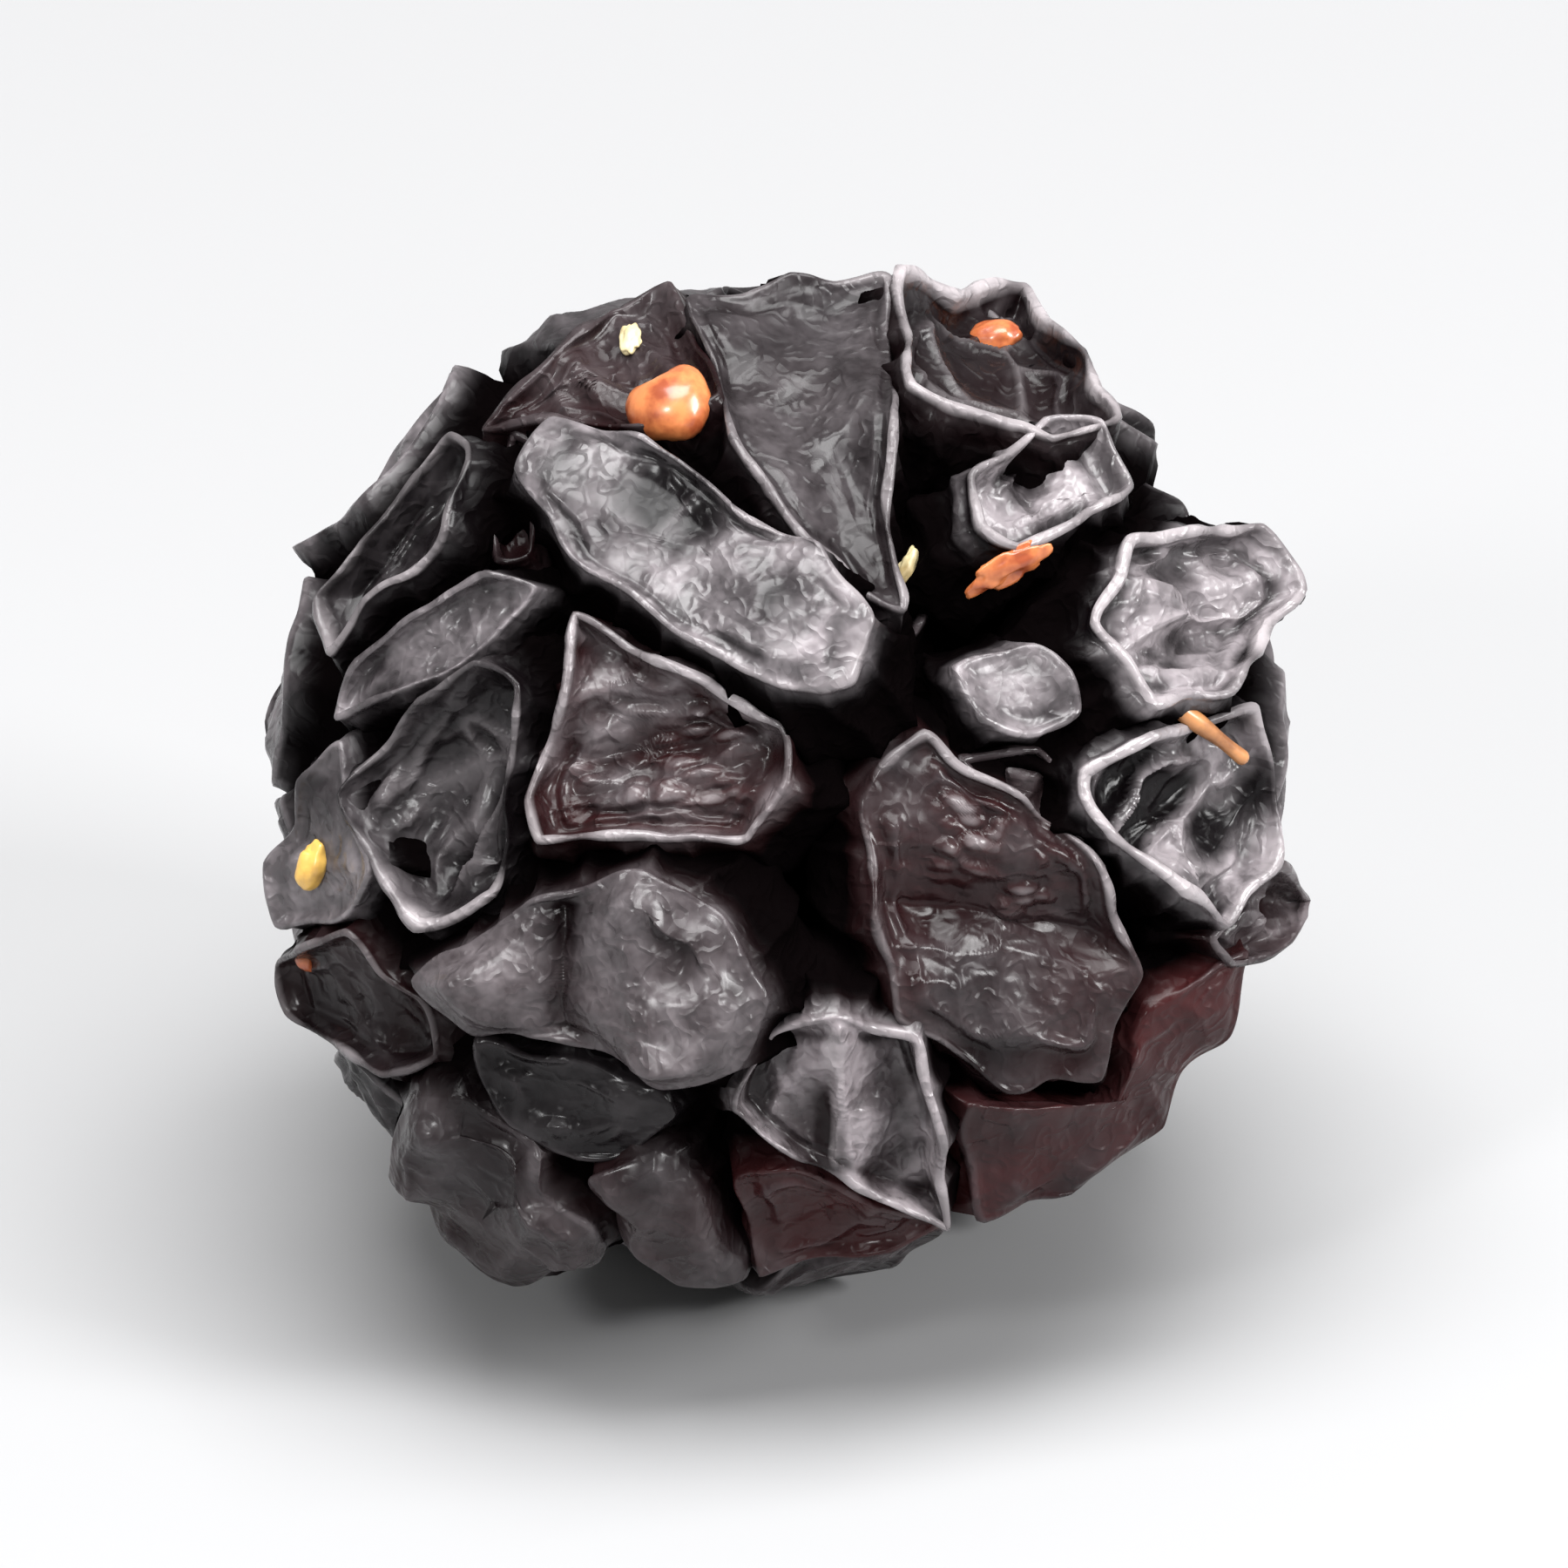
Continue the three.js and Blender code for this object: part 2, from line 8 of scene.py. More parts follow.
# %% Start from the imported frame
import math
import random
from types import SimpleNamespace
import bpy
import numpy as np
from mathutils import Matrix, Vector


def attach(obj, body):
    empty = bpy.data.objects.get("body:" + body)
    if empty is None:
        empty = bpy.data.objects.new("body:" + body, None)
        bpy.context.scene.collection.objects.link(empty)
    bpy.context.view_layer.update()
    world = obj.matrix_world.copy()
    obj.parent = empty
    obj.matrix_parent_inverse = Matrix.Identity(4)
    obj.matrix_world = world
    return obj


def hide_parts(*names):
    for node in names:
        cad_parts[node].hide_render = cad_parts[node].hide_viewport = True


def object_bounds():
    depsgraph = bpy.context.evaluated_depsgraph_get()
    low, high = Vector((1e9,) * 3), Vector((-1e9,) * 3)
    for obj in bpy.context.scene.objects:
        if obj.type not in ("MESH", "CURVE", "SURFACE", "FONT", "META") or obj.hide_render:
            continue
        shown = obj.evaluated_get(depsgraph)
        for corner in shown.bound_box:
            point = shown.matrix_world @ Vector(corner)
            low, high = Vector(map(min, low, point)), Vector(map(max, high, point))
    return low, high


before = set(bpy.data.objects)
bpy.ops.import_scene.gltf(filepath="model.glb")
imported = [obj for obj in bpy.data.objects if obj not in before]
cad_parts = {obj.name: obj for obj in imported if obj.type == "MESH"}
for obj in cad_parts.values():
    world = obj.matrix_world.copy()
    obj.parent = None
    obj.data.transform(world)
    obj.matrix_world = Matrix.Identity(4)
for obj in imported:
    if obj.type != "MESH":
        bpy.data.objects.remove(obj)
cad_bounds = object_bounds()
MM = 0.001
cad_low, cad_high = [np.array([float(v) for v in corner]) / MM for corner in cad_bounds]
print("frame box in mm:", np.round(cad_low, 2), np.round(cad_high, 2))

# %% [markdown]
# ## The berry's own plan
# The berry is planned along its own axis: x to the right and y up as seen from the base end, z toward the
# base end. One could scatter drupelets by chance alone, but that makes any berry and not this one. So the
# drupelets of the base end are placed one by one, from what can be seen. Each is given by the corners of its
# rim, by how far it stands out (lift), and by how deep its top has sunk (dish, negative for a plump one).
# The rest grow in rows toward the tip, as on any bramble.

# %% Plan of the base end
# the egg that the rims lie on: the radius of its girth and of its face, and its length to either side
GIRTH_RADIUS = 7.75
FACE_RADIUS = 8.35
BASE_LENGTH = 6.4
TIP_LENGTH = 9.0
AXIS_ELEVATION = math.radians(27)
# the dent: its turn round the axis and half its width in degrees, its depth, and the angles where it fades
DENT_TURN, DENT_HALF_WIDTH, DENT_DEPTH = -58, 58, 1.1
DENT_FADE = (91, 118)
# how much of the lowest drupelets is pressed flat, and how far the flats stay over the surface
REST_FLAT = 0.6
LOW_POINT_DROP = 0.06

# name, rim corners, lift, dish, folds (angle across them, spacing, first one, height),
# redness, greyness (grey bloom, partly painted sheen where the drupelet looks lit), crumple
BASE_END = [
    ("long_plate",
     [(-3.8, 4.5), (-3.2, 5.4), (-2.0, 5.0), (-0.6, 4.0), (0.7, 3.5), (1.4, 2.3), (1.1, 1.4),
      (0.1, 1.4), (-1.4, 2.1), (-2.9, 3.3)],
     0.7, -0.15, (-39, 5.4, -1.0, 0.4), 0.0, 1.2, 0.2),
    ("top_plate",
     [(-1.3, 7.3), (0.1, 7.7), (1.7, 7.6), (1.7, 5.1), (1.7, 2.6), (0.4, 3.7), (-0.7, 5.2)],
     0.15, 0.05, (-35, 2.6, 0.3, 0.2), 0.05, 0.3, 0.15),
    ("hooked_rim",
     [(1.8, 7.6), (3.6, 7.6), (4.4, 6.6), (5.0, 5.4), (4.1, 5.2), (2.8, 5.6), (1.9, 5.9)],
     0.2, 0.8, (60, 1.8, 0.2, 0.25), 0.1, 0.1, 0.9),
    ("small_pinched",
     [(2.7, 4.6), (3.9, 5.5), (4.7, 5.4), (5.2, 4.5), (4.4, 3.9), (3.4, 3.5), (2.8, 3.8)],
     0.2, 0.5, (30, 1.2, 0.3, 0.2), 0.0, 1.4, 1.0),
    ("hexagon",
     [(4.4, 2.4), (4.9, 3.6), (6.0, 3.9), (6.9, 3.8), (7.4, 2.8), (6.8, 1.9), (6.4, 1.3), (5.2, 1.2)],
     0.5, 0.5, (100, 1.3, 0.5, 0.25), 0.0, 1.4, 1.1),
    ("small_flat",
     [(2.8, 2.0), (3.8, 2.3), (4.2, 1.9), (4.4, 1.3), (3.8, 1.0), (3.1, 1.2)],
     -0.05, -0.05, (20, 2.4, 0.4, 0.12), 0.0, 1.6, 0.15),
    ("cup",
     [(4.5, 0.4), (5.3, 0.9), (7.0, 1.2), (7.4, 0.0), (7.3, -1.1), (6.5, -2.0), (5.6, -1.4), (4.8, -0.6)],
     0.2, 0.6, (140, 1.4, 0.2, 0.25), 0.0, 1.3, 1.1),
    ("right_fold",
     [(6.5, -2.2), (7.4, -1.1), (7.9, -1.6), (7.5, -2.2), (6.8, -2.6)],
     0.0, 0.3, (90, 1.0, 0.1, 0.15), 0.3, 0.6, 0.8),
    ("large_right",
     [(1.4, -0.1), (2.2, 0.8), (3.5, 0.1), (4.8, -1.1), (5.4, -2.8), (4.8, -4.2), (3.5, -4.4),
      (1.8, -3.3), (1.5, -1.8)],
     -0.1, 0.15, (80, 3.0, -1.3, -0.5), 0.3, 0.15, 0.6),
    ("smooth_red",
     [(2.9, -4.6), (4.9, -4.8), (5.6, -3.4), (7.0, -2.4), (6.7, -3.7), (5.8, -5.0), (4.3, -5.9),
      (3.0, -6.3)],
     -0.1, -0.2, (30, 4.0, 1.0, 0.08), 1.0, 0.1, 0.3),
    ("ridged",
     [(-0.1, -3.5), (0.8, -3.2), (2.1, -3.6), (2.4, -5.0), (2.5, -6.2), (1.4, -5.9), (0.2, -5.2),
      (-0.7, -4.5)],
     0.2, 0.3, (0, 2.6, 0.8, 0.7), 0.1, 1.9, 0.5),
    ("plump",
     [(-5.3, -2.6), (-3.5, -1.6), (-1.9, -1.1), (-0.7, -1.6), (-0.1, -2.9), (-0.5, -3.9), (-1.5, -4.1),
      (-3.1, -3.6), (-4.5, -3.4)],
     0.6, -0.25, (0, 3.4, -3.2, -0.8), 0.12, 0.5, 0.2),
    ("under_fold",
     [(-4.5, -3.7), (-3.2, -3.9), (-1.8, -4.3), (-1.5, -4.7), (-2.1, -5.3), (-2.9, -5.4), (-3.9, -4.7)],
     0.0, -0.1, (-60, 2.4, 0.2, 0.15), 0.0, 0.1, 0.4),
    ("round_low",
     [(-5.5, -4.5), (-4.5, -4.3), (-3.5, -5.1), (-3.3, -5.8), (-2.6, -6.3), (-2.7, -6.9), (-3.8, -7.2),
      (-4.9, -6.6), (-5.6, -5.4)],
     0.2, -0.45, (45, 2.4, 1.2, -0.2), 0.2, 0.2, 0.5),
    ("narrow_low",
     [(-2.6, -5.6), (-1.7, -5.2), (-1.0, -5.9), (-0.6, -7.3), (-1.5, -7.2), (-2.2, -6.7)],
     0.1, -0.3, (20, 3.0, 0.6, -0.15), 0.25, 0.25, 0.25),
    ("red_low",
     [(-0.5, -5.8), (0.2, -5.5), (1.4, -6.1), (2.4, -6.4), (1.7, -6.9), (0.4, -7.2), (-0.4, -7.3)],
     -0.1, 0.1, (100, 1.3, 0.3, 0.15), 0.9, 0.2, 0.8),
    ("trapezoid",
     [(-2.9, 2.6), (-1.4, 1.7), (0.1, 1.0), (0.3, 0.2), (-0.4, -0.6), (-2.1, -0.7), (-3.5, -0.8),
      (-3.7, -0.1), (-3.2, 1.4)],
     0.25, 0.55, (100, 1.7, 0.3, 0.2), 0.35, 0.9, 0.8),
    ("long_rims",
     [(-6.4, 0.0), (-5.3, 1.4), (-4.4, 1.9), (-3.7, 1.5), (-4.0, 0.3), (-4.1, -0.9), (-4.3, -1.6),
      (-5.3, -2.1), (-6.0, -1.0)],
     0.1, 0.7, (-30, 1.7, 0.2, 0.3), 0.0, 0.25, 0.9),
    ("thin_loop",
     [(-6.8, 2.8), (-5.8, 4.2), (-4.8, 5.3), (-4.4, 4.8), (-4.7, 3.8), (-6.0, 2.8), (-6.6, 2.0)],
     0.2, 0.5, (-45, 1.2, 0.1, 0.15), 0.0, 0.15, 0.6),
    ("grey_plate",
     [(-6.6, 1.1), (-6.3, 1.9), (-5.3, 2.7), (-4.3, 3.3), (-3.6, 3.0), (-4.4, 2.3), (-5.7, 1.4)],
     0.0, 0.1, (-50, 2.4, 0.5, 0.1), 0.0, 1.0, 0.2),
    ("left_edge",
     [(-7.1, 0.3), (-6.5, 0.7), (-6.3, -0.3), (-6.0, -1.2), (-6.5, -1.9), (-7.5, -2.0), (-7.6, -1.0)],
     0.0, 0.1, (80, 2.4, 0.2, 0.1), 0.0, 1.0, 0.15),
    ("dark_loop",
     [(-7.6, -2.8), (-7.2, -2.3), (-6.4, -2.1), (-5.5, -3.1), (-5.2, -4.0), (-5.9, -4.2), (-6.7, -3.8),
      (-7.4, -3.4)],
     0.0, 0.4, (40, 1.5, 0.1, 0.15), 0.3, 0.08, 0.6),
    ("dark_fold",
     [(-4.3, 3.6), (-4.4, 4.6), (-4.1, 5.5), (-3.5, 5.2), (-3.8, 4.5), (-3.8, 3.7)],
     -0.3, 0.3, (0, 1.0, 0.1, 0.12), 0.2, 0.2, 0.7),
    ("recess",
     [(1.9, 5.5), (2.6, 5.3), (2.7, 4.2), (2.4, 3.1), (2.0, 2.7), (1.8, 3.8)],
     -0.9, 0.3, (80, 1.2, 0.2, 0.15), 0.1, 0.3, 0.8),
    ("thin_dark",
     [(2.9, 0.6), (4.0, 0.7), (4.6, 0.0), (4.9, -0.8), (4.0, -0.4)],
     -0.5, 0.2, (130, 1.2, 0.2, 0.12), 0.2, 0.3, 0.8),
    ("brown_top",
     [(-4.5, 5.5), (-3.5, 6.3), (-2.5, 7.2), (-1.5, 7.6), (-0.9, 5.9), (-2.1, 5.4), (-3.3, 5.6)],
     0.0, 0.2, (45, 1.0, 0.2, 0.2), 0.25, 0.2, 0.8),
]
print("drupelets of the base end:", len(BASE_END))

# %% [markdown]
# ## The same draw of chance as in the solid
# The rows toward the tip are drawn with seeded random numbers. The order of the draws is the order of the
# solid's own plan, so each visible drupelet grows exactly where its solid one is. Python's own random
# numbers differ from those of other languages, so the rule for the next number is written out here.

# %% Seeded numbers
SEED, FACTOR, TURNOVER = 2417, 16807, 2147483647
state = SEED


def seeded(low, high):
    """The next number of the draw, between low and high."""
    global state
    state = (state * FACTOR) % TURNOVER
    return low + (high - low) * (state / TURNOVER)


print("chance starts from", SEED)

# %% [markdown]
# ## The egg that the rims lie on
# A berry is roughly an egg: flatter at the base end, longer toward the tip, with a shallow dent low on the
# right where it was pressed while it dried. The rims of the drupelets lie on this egg.

# %% Envelope
def smooth_step(share):
    return share * share * (3 - 2 * share)


def face_height(x, y):
    """Height of the base end over the widest girth."""
    share = min(1.0, math.hypot(x, y) / FACE_RADIUS)
    return BASE_LENGTH * math.sqrt(1 - share * share)


def envelope_point(polar, turn):
    """A point of the egg, by its angle from the base end's pole and its turn round the axis, in degrees."""
    p, t = math.radians(polar), math.radians(turn)
    length = BASE_LENGTH if p < math.pi / 2 else TIP_LENGTH
    aside = (turn - DENT_TURN + 180) % 360 - 180
    in_dent = max(0, 1 - abs(aside) / DENT_HALF_WIDTH)
    beyond = min(max((polar - DENT_FADE[0]) / (DENT_FADE[1] - DENT_FADE[0]), 0), 1)
    dent = DENT_DEPTH * (1 - smooth_step(beyond)) * math.sin(math.pi / 2 * in_dent) ** 2
    radius = (GIRTH_RADIUS - dent) * math.sin(p)
    return np.array([radius * math.cos(t), radius * math.sin(t), length * math.cos(p)])


def plane_of(points):
    """The middle of a ring of points, and the direction that it faces."""
    middle = points.mean(axis=0)
    around = points - middle
    normal = np.cross(around, np.roll(around, -1, axis=0)).sum(axis=0)
    return middle, normal / np.linalg.norm(normal)


print("length of the egg in mm:", round(face_height(0, 0) - envelope_point(180, 0)[2], 2))

# %% [markdown]
# ## The form of one drupelet
# A drupelet is planned as rings of points: a sunken top, the rim, a swelling side and a root that narrows
# toward the receptacle. Long sides of the rim sag a little between their corners. Folds cross the sunken
# top: where their height is positive they are sharp ridges with round valleys between them, and where it is
# negative, sharp creases with round bulges between.

# %% Rings of one drupelet
# how far the side swells past the rim, and how deep below it
SIDE_RINGS = [(0.1, 0.5), (0.28, 1.6)]
ROOT_DEPTH = 3.6
LONG_SIDE = 1.4
SIDE_PULLED_IN = 0.035
SIDE_SAG = 0.12
RIM_UNEVEN = 0.18
# the root aims at the axis, at this share of the drupelet's height, and turns this far to the normal
ROOT_AIM = 0.35
ROOT_LEAN = 0.5


def full_rim(corners):
    """The corners, turned to face outward, with a sagging point amid each long side."""
    middle, normal = plane_of(corners)
    if normal @ middle < 0:
        corners = corners[::-1]
        middle, normal = plane_of(corners)
    rim = []
    for i, corner in enumerate(corners):
        rim.append(corner)
        following = corners[(i + 1) % len(corners)]
        if np.linalg.norm(corner - following) > LONG_SIDE:
            between = (corner + following) / 2
            between = between + (middle - between) * SIDE_PULLED_IN
            rim.append(between - normal * SIDE_SAG)
    return np.array(rim), middle, normal


def plan_drupelet(corners, lift, dish, fold, top_rings):
    """Rings of points from the middle of the top, over the rim, down to the root."""
    rim, middle, normal = full_rim(corners)
    reach = np.linalg.norm(rim - middle, axis=1).mean()
    rim = rim + np.array([seeded(-RIM_UNEVEN, RIM_UNEVEN) for _ in rim])[:, None] * normal
    aim = np.array([0, 0, middle[2] * ROOT_AIM]) - middle
    aim = aim / np.linalg.norm(aim)
    inward = aim + (-normal - aim) * ROOT_LEAN
    inward = inward / np.linalg.norm(inward)
    outer = normal * lift
    rings = [np.repeat((middle + outer - normal * dish)[None], len(rim), axis=0)]
    for share, dish_share in top_rings:
        rings.append(middle + (rim - middle) * share + outer - normal * dish * dish_share)
    rim_ring = len(rings)
    rings.append(rim + outer)
    for swell, depth in SIDE_RINGS:
        rings.append(middle + (rim - middle) * (1 + swell / reach) + outer + inward * depth)
    rings.append(np.repeat((middle + outer + inward * ROOT_DEPTH)[None], len(rim), axis=0))
    return {"rings": np.array(rings), "rim_ring": rim_ring, "normal": normal, "middle": middle + outer,
            "fold": fold, "reach": reach, "top_knots": [0.0] + [share for share, _ in top_rings] + [1.0]}


def fold_phase(points, fold):
    return math.pi * (points @ fold["along"]) / fold["spacing"] - fold["start"]


def fold_height(points, fold):
    return fold["height"] * (0.5 - np.abs(np.sin(fold_phase(points, fold))))


print("rings below the rim:", len(SIDE_RINGS) + 1, "and the root lies", ROOT_DEPTH, "mm deep")

# %% [markdown]
# ## Every drupelet
# Each is planned before any is made. The base end comes first, then four rows of five-cornered drupelets
# toward the tip. Every second row is turned by half a drupelet, so that they lock into each other.

# %% Plan of every drupelet
# share of the way out to the rim, and share of the dish there
BASE_TOP_RINGS = [(0.46, 1.0), (0.84, 0.7)]
ROW_TOP_RINGS = [(0.66, 0.9)]
# angle from the base end's pole, number of drupelets, half of a drupelet's height, in degrees
TIP_ROWS = [(91, 13, 16), (118, 12, 13), (142, 9, 12), (165, 5, 13)]
ROW_CORNERS = 5
ROW_OVERLAP = 1.1
TURN_CHANCE, CORNER_CHANCE, REACH_CHANCE = 0.1, 0.15, 0.15
ROW_LIFT, ROW_DISH = (-0.25, 0.35), (-0.2, 0.6)
ROW_FOLD_SPACING, ROW_FOLD_HEIGHT = (1.3, 2.4), (0.12, 0.35)


def base_end_plan(rim, lift, dish, folds):
    corners = np.array([[x, y, face_height(x, y)] for x, y in rim])
    angle, spacing, first, height = folds
    along = np.array([math.cos(math.radians(angle)), math.sin(math.radians(angle)), 0])
    fold = {"along": along, "spacing": spacing, "start": math.pi * first / spacing, "height": height}
    return plan_drupelet(corners, lift, dish, fold, BASE_TOP_RINGS)


def row_plan(row_polar, half_height, step, turn):
    corners = []
    for k in range(ROW_CORNERS):
        angle = 2 * math.pi * (k + seeded(-CORNER_CHANCE, CORNER_CHANCE)) / ROW_CORNERS
        reach = 1 + seeded(-REACH_CHANCE, REACH_CHANCE)
        polar = row_polar + half_height * reach * math.sin(angle)
        corners.append(envelope_point(polar, turn + 0.5 * step * ROW_OVERLAP * reach * math.cos(angle)))
    lift = seeded(*ROW_LIFT)
    dish = seeded(*ROW_DISH)
    along = np.array([seeded(-1, 1), seeded(-1, 1), seeded(-1, 1)])
    fold = {"along": along / np.linalg.norm(along), "spacing": seeded(*ROW_FOLD_SPACING), "start": 0,
            "height": seeded(*ROW_FOLD_HEIGHT)}
    return plan_drupelet(np.array(corners), lift, dish, fold, ROW_TOP_RINGS)


plans = []
for name, rim, lift, dish, folds, red, grey, crumple in BASE_END:
    plan = base_end_plan(rim, lift, dish, folds)
    plan.update(name=name, red=red, grey=grey, crumple=crumple, seen=True)
    plans.append(plan)

for row_number, (row_polar, count, half_height) in enumerate(TIP_ROWS):
    step = 360 / count
    for i in range(count):
        turn = step * (i + 0.5 * (row_number % 2) + seeded(-TURN_CHANCE, TURN_CHANCE))
        plan = row_plan(row_polar, half_height, step, turn)
        plan.update(name=f"row{row_number + 1}_{i + 1:02d}", seen=False)
        plans.append(plan)
print("drupelets in all:", len(plans))

# %% [markdown]
# ## From the berry's own axis to where it lies
# A loose berry lies on its side, so the axis leans only a little up from the surface. One could parent
# everything to a leaning empty, but moving the points themselves keeps every piece plain. The lowest
# drupelets are pressed flat where the berry lies.

# %% Lay the berry down
cos_lean, sin_lean = math.cos(math.pi / 2 - AXIS_ELEVATION), math.sin(math.pi / 2 - AXIS_ELEVATION)
LEAN = np.array([[1, 0, 0], [0, cos_lean, -sin_lean], [0, sin_lean, cos_lean]])


def folded_rings(plan):
    """The points of the rings, with the folds raised in those of the top."""
    rings = plan["rings"].copy()
    top = rings[:plan["rim_ring"]]
    heights = fold_height(top.reshape(-1, 3), plan["fold"]).reshape(top.shape[:2])
    top += heights[:, :, None] * plan["normal"]
    return rings.reshape(-1, 3)


planned = np.concatenate([folded_rings(plan) for plan in plans]) @ LEAN.T
plan_low, plan_high = planned.min(axis=0), planned.max(axis=0)
SHIFT = np.array([-(plan_low[0] + plan_high[0]) / 2, -(plan_low[1] + plan_high[1]) / 2,
                  LOW_POINT_DROP - (plan_low[2] + REST_FLAT)])


def lay(points):
    """From the berry's own axis to where it lies."""
    return points @ LEAN.T + SHIFT


print("planned box in mm:", np.round(plan_low + SHIFT, 2), np.round(plan_high + SHIFT, 2))

# %% [markdown]
# ## Chance that varies smoothly: noise
# Wrinkled skin needs two kinds of noise. Smooth noise bends lines that would otherwise be straight. Cell
# noise splits the skin into small sunken fields with sharp ridges between them, as foil does when crumpled.
# Both start from numbers fixed to the corners of a lattice in space. Each use has its own salt, a number
# that makes its noise differ from every other.

# %% Noise in three dimensions
LATTICE_FACTORS = (73856093, 19349663, 83492791, 2654435761)
MIX_FACTORS = (1274126177, 668265263)
WHOLE, FRACTION = 0x7FFFFFFF, 0x1000000
KEEP_POSITIVE = 100
FAR = 9.0


def lattice(ix, iy, iz, salt):
    """A number from 0 to 1 that belongs to a lattice corner."""
    along_x, along_y, along_z, along_salt = LATTICE_FACTORS
    h = (ix * along_x) ^ (iy * along_y) ^ (iz * along_z) ^ (salt * along_salt)
    h = (h ^ (h >> 13)) * MIX_FACTORS[0] & WHOLE
    h = (h ^ (h >> 15)) * MIX_FACTORS[1] & WHOLE
    return (h & (FRACTION - 1)) / FRACTION


def smooth_noise(points, scale, salt):
    """A value from -1 to 1 that changes gently over a distance of scale."""
    p = points / scale + KEEP_POSITIVE
    base = np.floor(p).astype(np.int64)
    f = p - base
    f = f * f * f * (f * (f * 6 - 15) + 10)
    total = 0
    for dx in (0, 1):
        for dy in (0, 1):
            for dz in (0, 1):
                weight = ((f[:, 0] if dx else 1 - f[:, 0]) * (f[:, 1] if dy else 1 - f[:, 1])
                          * (f[:, 2] if dz else 1 - f[:, 2]))
                total = total + weight * lattice(base[:, 0] + dx, base[:, 1] + dy, base[:, 2] + dz, salt)
    return total * 2 - 1


def noise_vectors(points, scale, salt):
    return np.stack([smooth_noise(points, scale, salt + k) for k in range(3)], axis=1)


def cell_noise(points, scale, salt):
    """Distances to the nearest and second nearest scattered point, and a tilt of its own for each cell."""
    p = points / scale + KEEP_POSITIVE
    base = np.floor(p).astype(np.int64)
    first = np.full(len(p), FAR)
    second = np.full(len(p), FAR)
    tilt = np.zeros(len(p))
    for dx in (-1, 0, 1):
        for dy in (-1, 0, 1):
            for dz in (-1, 0, 1):
                cell = base + (dx, dy, dz)
                x, y, z = cell.T
                centre = cell + np.stack([lattice(x, y, z, salt + k) for k in range(3)], axis=1)
                away = ((centre - p) ** 2).sum(axis=1)
                slope = np.stack([lattice(x, y, z, salt + 3 + k) for k in range(3)], axis=1) * 2 - 1
                nearer = away < first
                second = np.where(nearer, first, np.minimum(second, away))
                tilt = np.where(nearer, ((p - centre) * slope).sum(axis=1), tilt)
                first = np.where(nearer, away, first)
    return np.sqrt(first), np.sqrt(second), tilt


sample = smooth_noise(planned, 1.0, 1)
print("smooth noise over the plan's points runs from", sample.min().round(2), "to", sample.max().round(2))

# %% [markdown]
# ## From coarse rings to fine rows and columns
# The rings carry the form, but skin needs a point every 0.06 mm. A subdivision modifier could make them, but
# then no point would know where on its drupelet it lies. So smooth curves are drawn through the rings, and
# the answer is a grid: the first row is the middle of the top, then come the rim and the side, and the last
# row is the root. Round the rim, the corners are only partly rounded, because stiff dry skin keeps corners.

# %% Curves through the rings and round the rim
# shares that are straight, rounded through the corners, and eased past them
SEEN_ROUNDING = (0.4, 0.5, 0.1)
ROW_ROUNDING = (0.2, 0.4, 0.4)
FEWEST_WAVES, MORE_WAVES = 1.2, 14


def curve_weights(knots, places):
    """Rows of weights of a smooth curve through values at the knots."""
    count = len(knots)
    weights = np.zeros((len(places), count))
    for row, t in enumerate(places):
        k = min(max(int(np.searchsorted(knots, t, side="right")) - 1, 0), count - 2)
        h = knots[k + 1] - knots[k]
        s = (t - knots[k]) / h
        a, b = 2 * s**3 - 3 * s**2 + 1, -2 * s**3 + 3 * s**2
        c, d = (s**3 - 2 * s**2 + s) * h, (s**3 - s**2) * h
        weights[row, k] += a
        weights[row, k + 1] += b
        for tangent, at in ((c, k), (d, k + 1)):
            low, high = max(at - 1, 0), min(at + 1, count - 1)
            span = knots[high] - knots[low]
            weights[row, high] += tangent / span
            weights[row, low] -= tangent / span
    return weights


def round_the_rim(plan, around):
    """Weights of columns spread evenly along the rim: partly straight, rounded and eased past its corners."""
    shares = SEEN_ROUNDING if plan["seen"] else ROW_ROUNDING
    rim = plan["rings"][plan["rim_ring"]]
    count = len(rim)
    lengths = np.linalg.norm(np.roll(rim, -1, axis=0) - rim, axis=1)
    ends = np.concatenate([[0], np.cumsum(lengths)])
    places = np.linspace(0, ends[-1], around, endpoint=False)
    weights = np.zeros((around, count))
    for row, place in enumerate(places):
        k = min(int(np.searchsorted(ends, place, side="right")) - 1, count - 1)
        s = (place - ends[k]) / lengths[k]
        before, here, after, beyond = (k - 1) % count, k, (k + 1) % count, (k + 2) % count
        straight = {here: 1 - s, after: s}
        rounded = {before: -0.5 * s + s**2 - 0.5 * s**3, here: 1 - 2.5 * s**2 + 1.5 * s**3,
                   after: 0.5 * s + 2 * s**2 - 1.5 * s**3, beyond: -0.5 * s**2 + 0.5 * s**3}
        eased = {before: (1 - s)**3 / 6, here: (3 * s**3 - 6 * s**2 + 4) / 6,
                 after: (1 + 3 * s + 3 * s**2 - 3 * s**3) / 6, beyond: s**3 / 6}
        for share, run in zip(shares, (straight, rounded, eased)):
            for at, weight in run.items():
                weights[row, at] += share * weight
    return weights


def calm_middle(top, plan, places):
    """The unevenness of the rim dies away toward the middle of the top, so that no star is left there."""
    height = (top - plan["middle"]) @ plan["normal"]
    waves = np.fft.rfft(height, axis=1)
    order = np.arange(waves.shape[1])
    kept = np.exp(-(order[None] / (FEWEST_WAVES + MORE_WAVES * places[:, None] ** 3)) ** 2)
    kept[-1] = 1
    calm = np.fft.irfft(waves * kept, n=top.shape[1], axis=1)
    return top + (calm - height)[:, :, None] * plan["normal"]


print("weights halfway between four knots:", curve_weights([0, 1, 2, 3], [1.5]).round(3)[0])

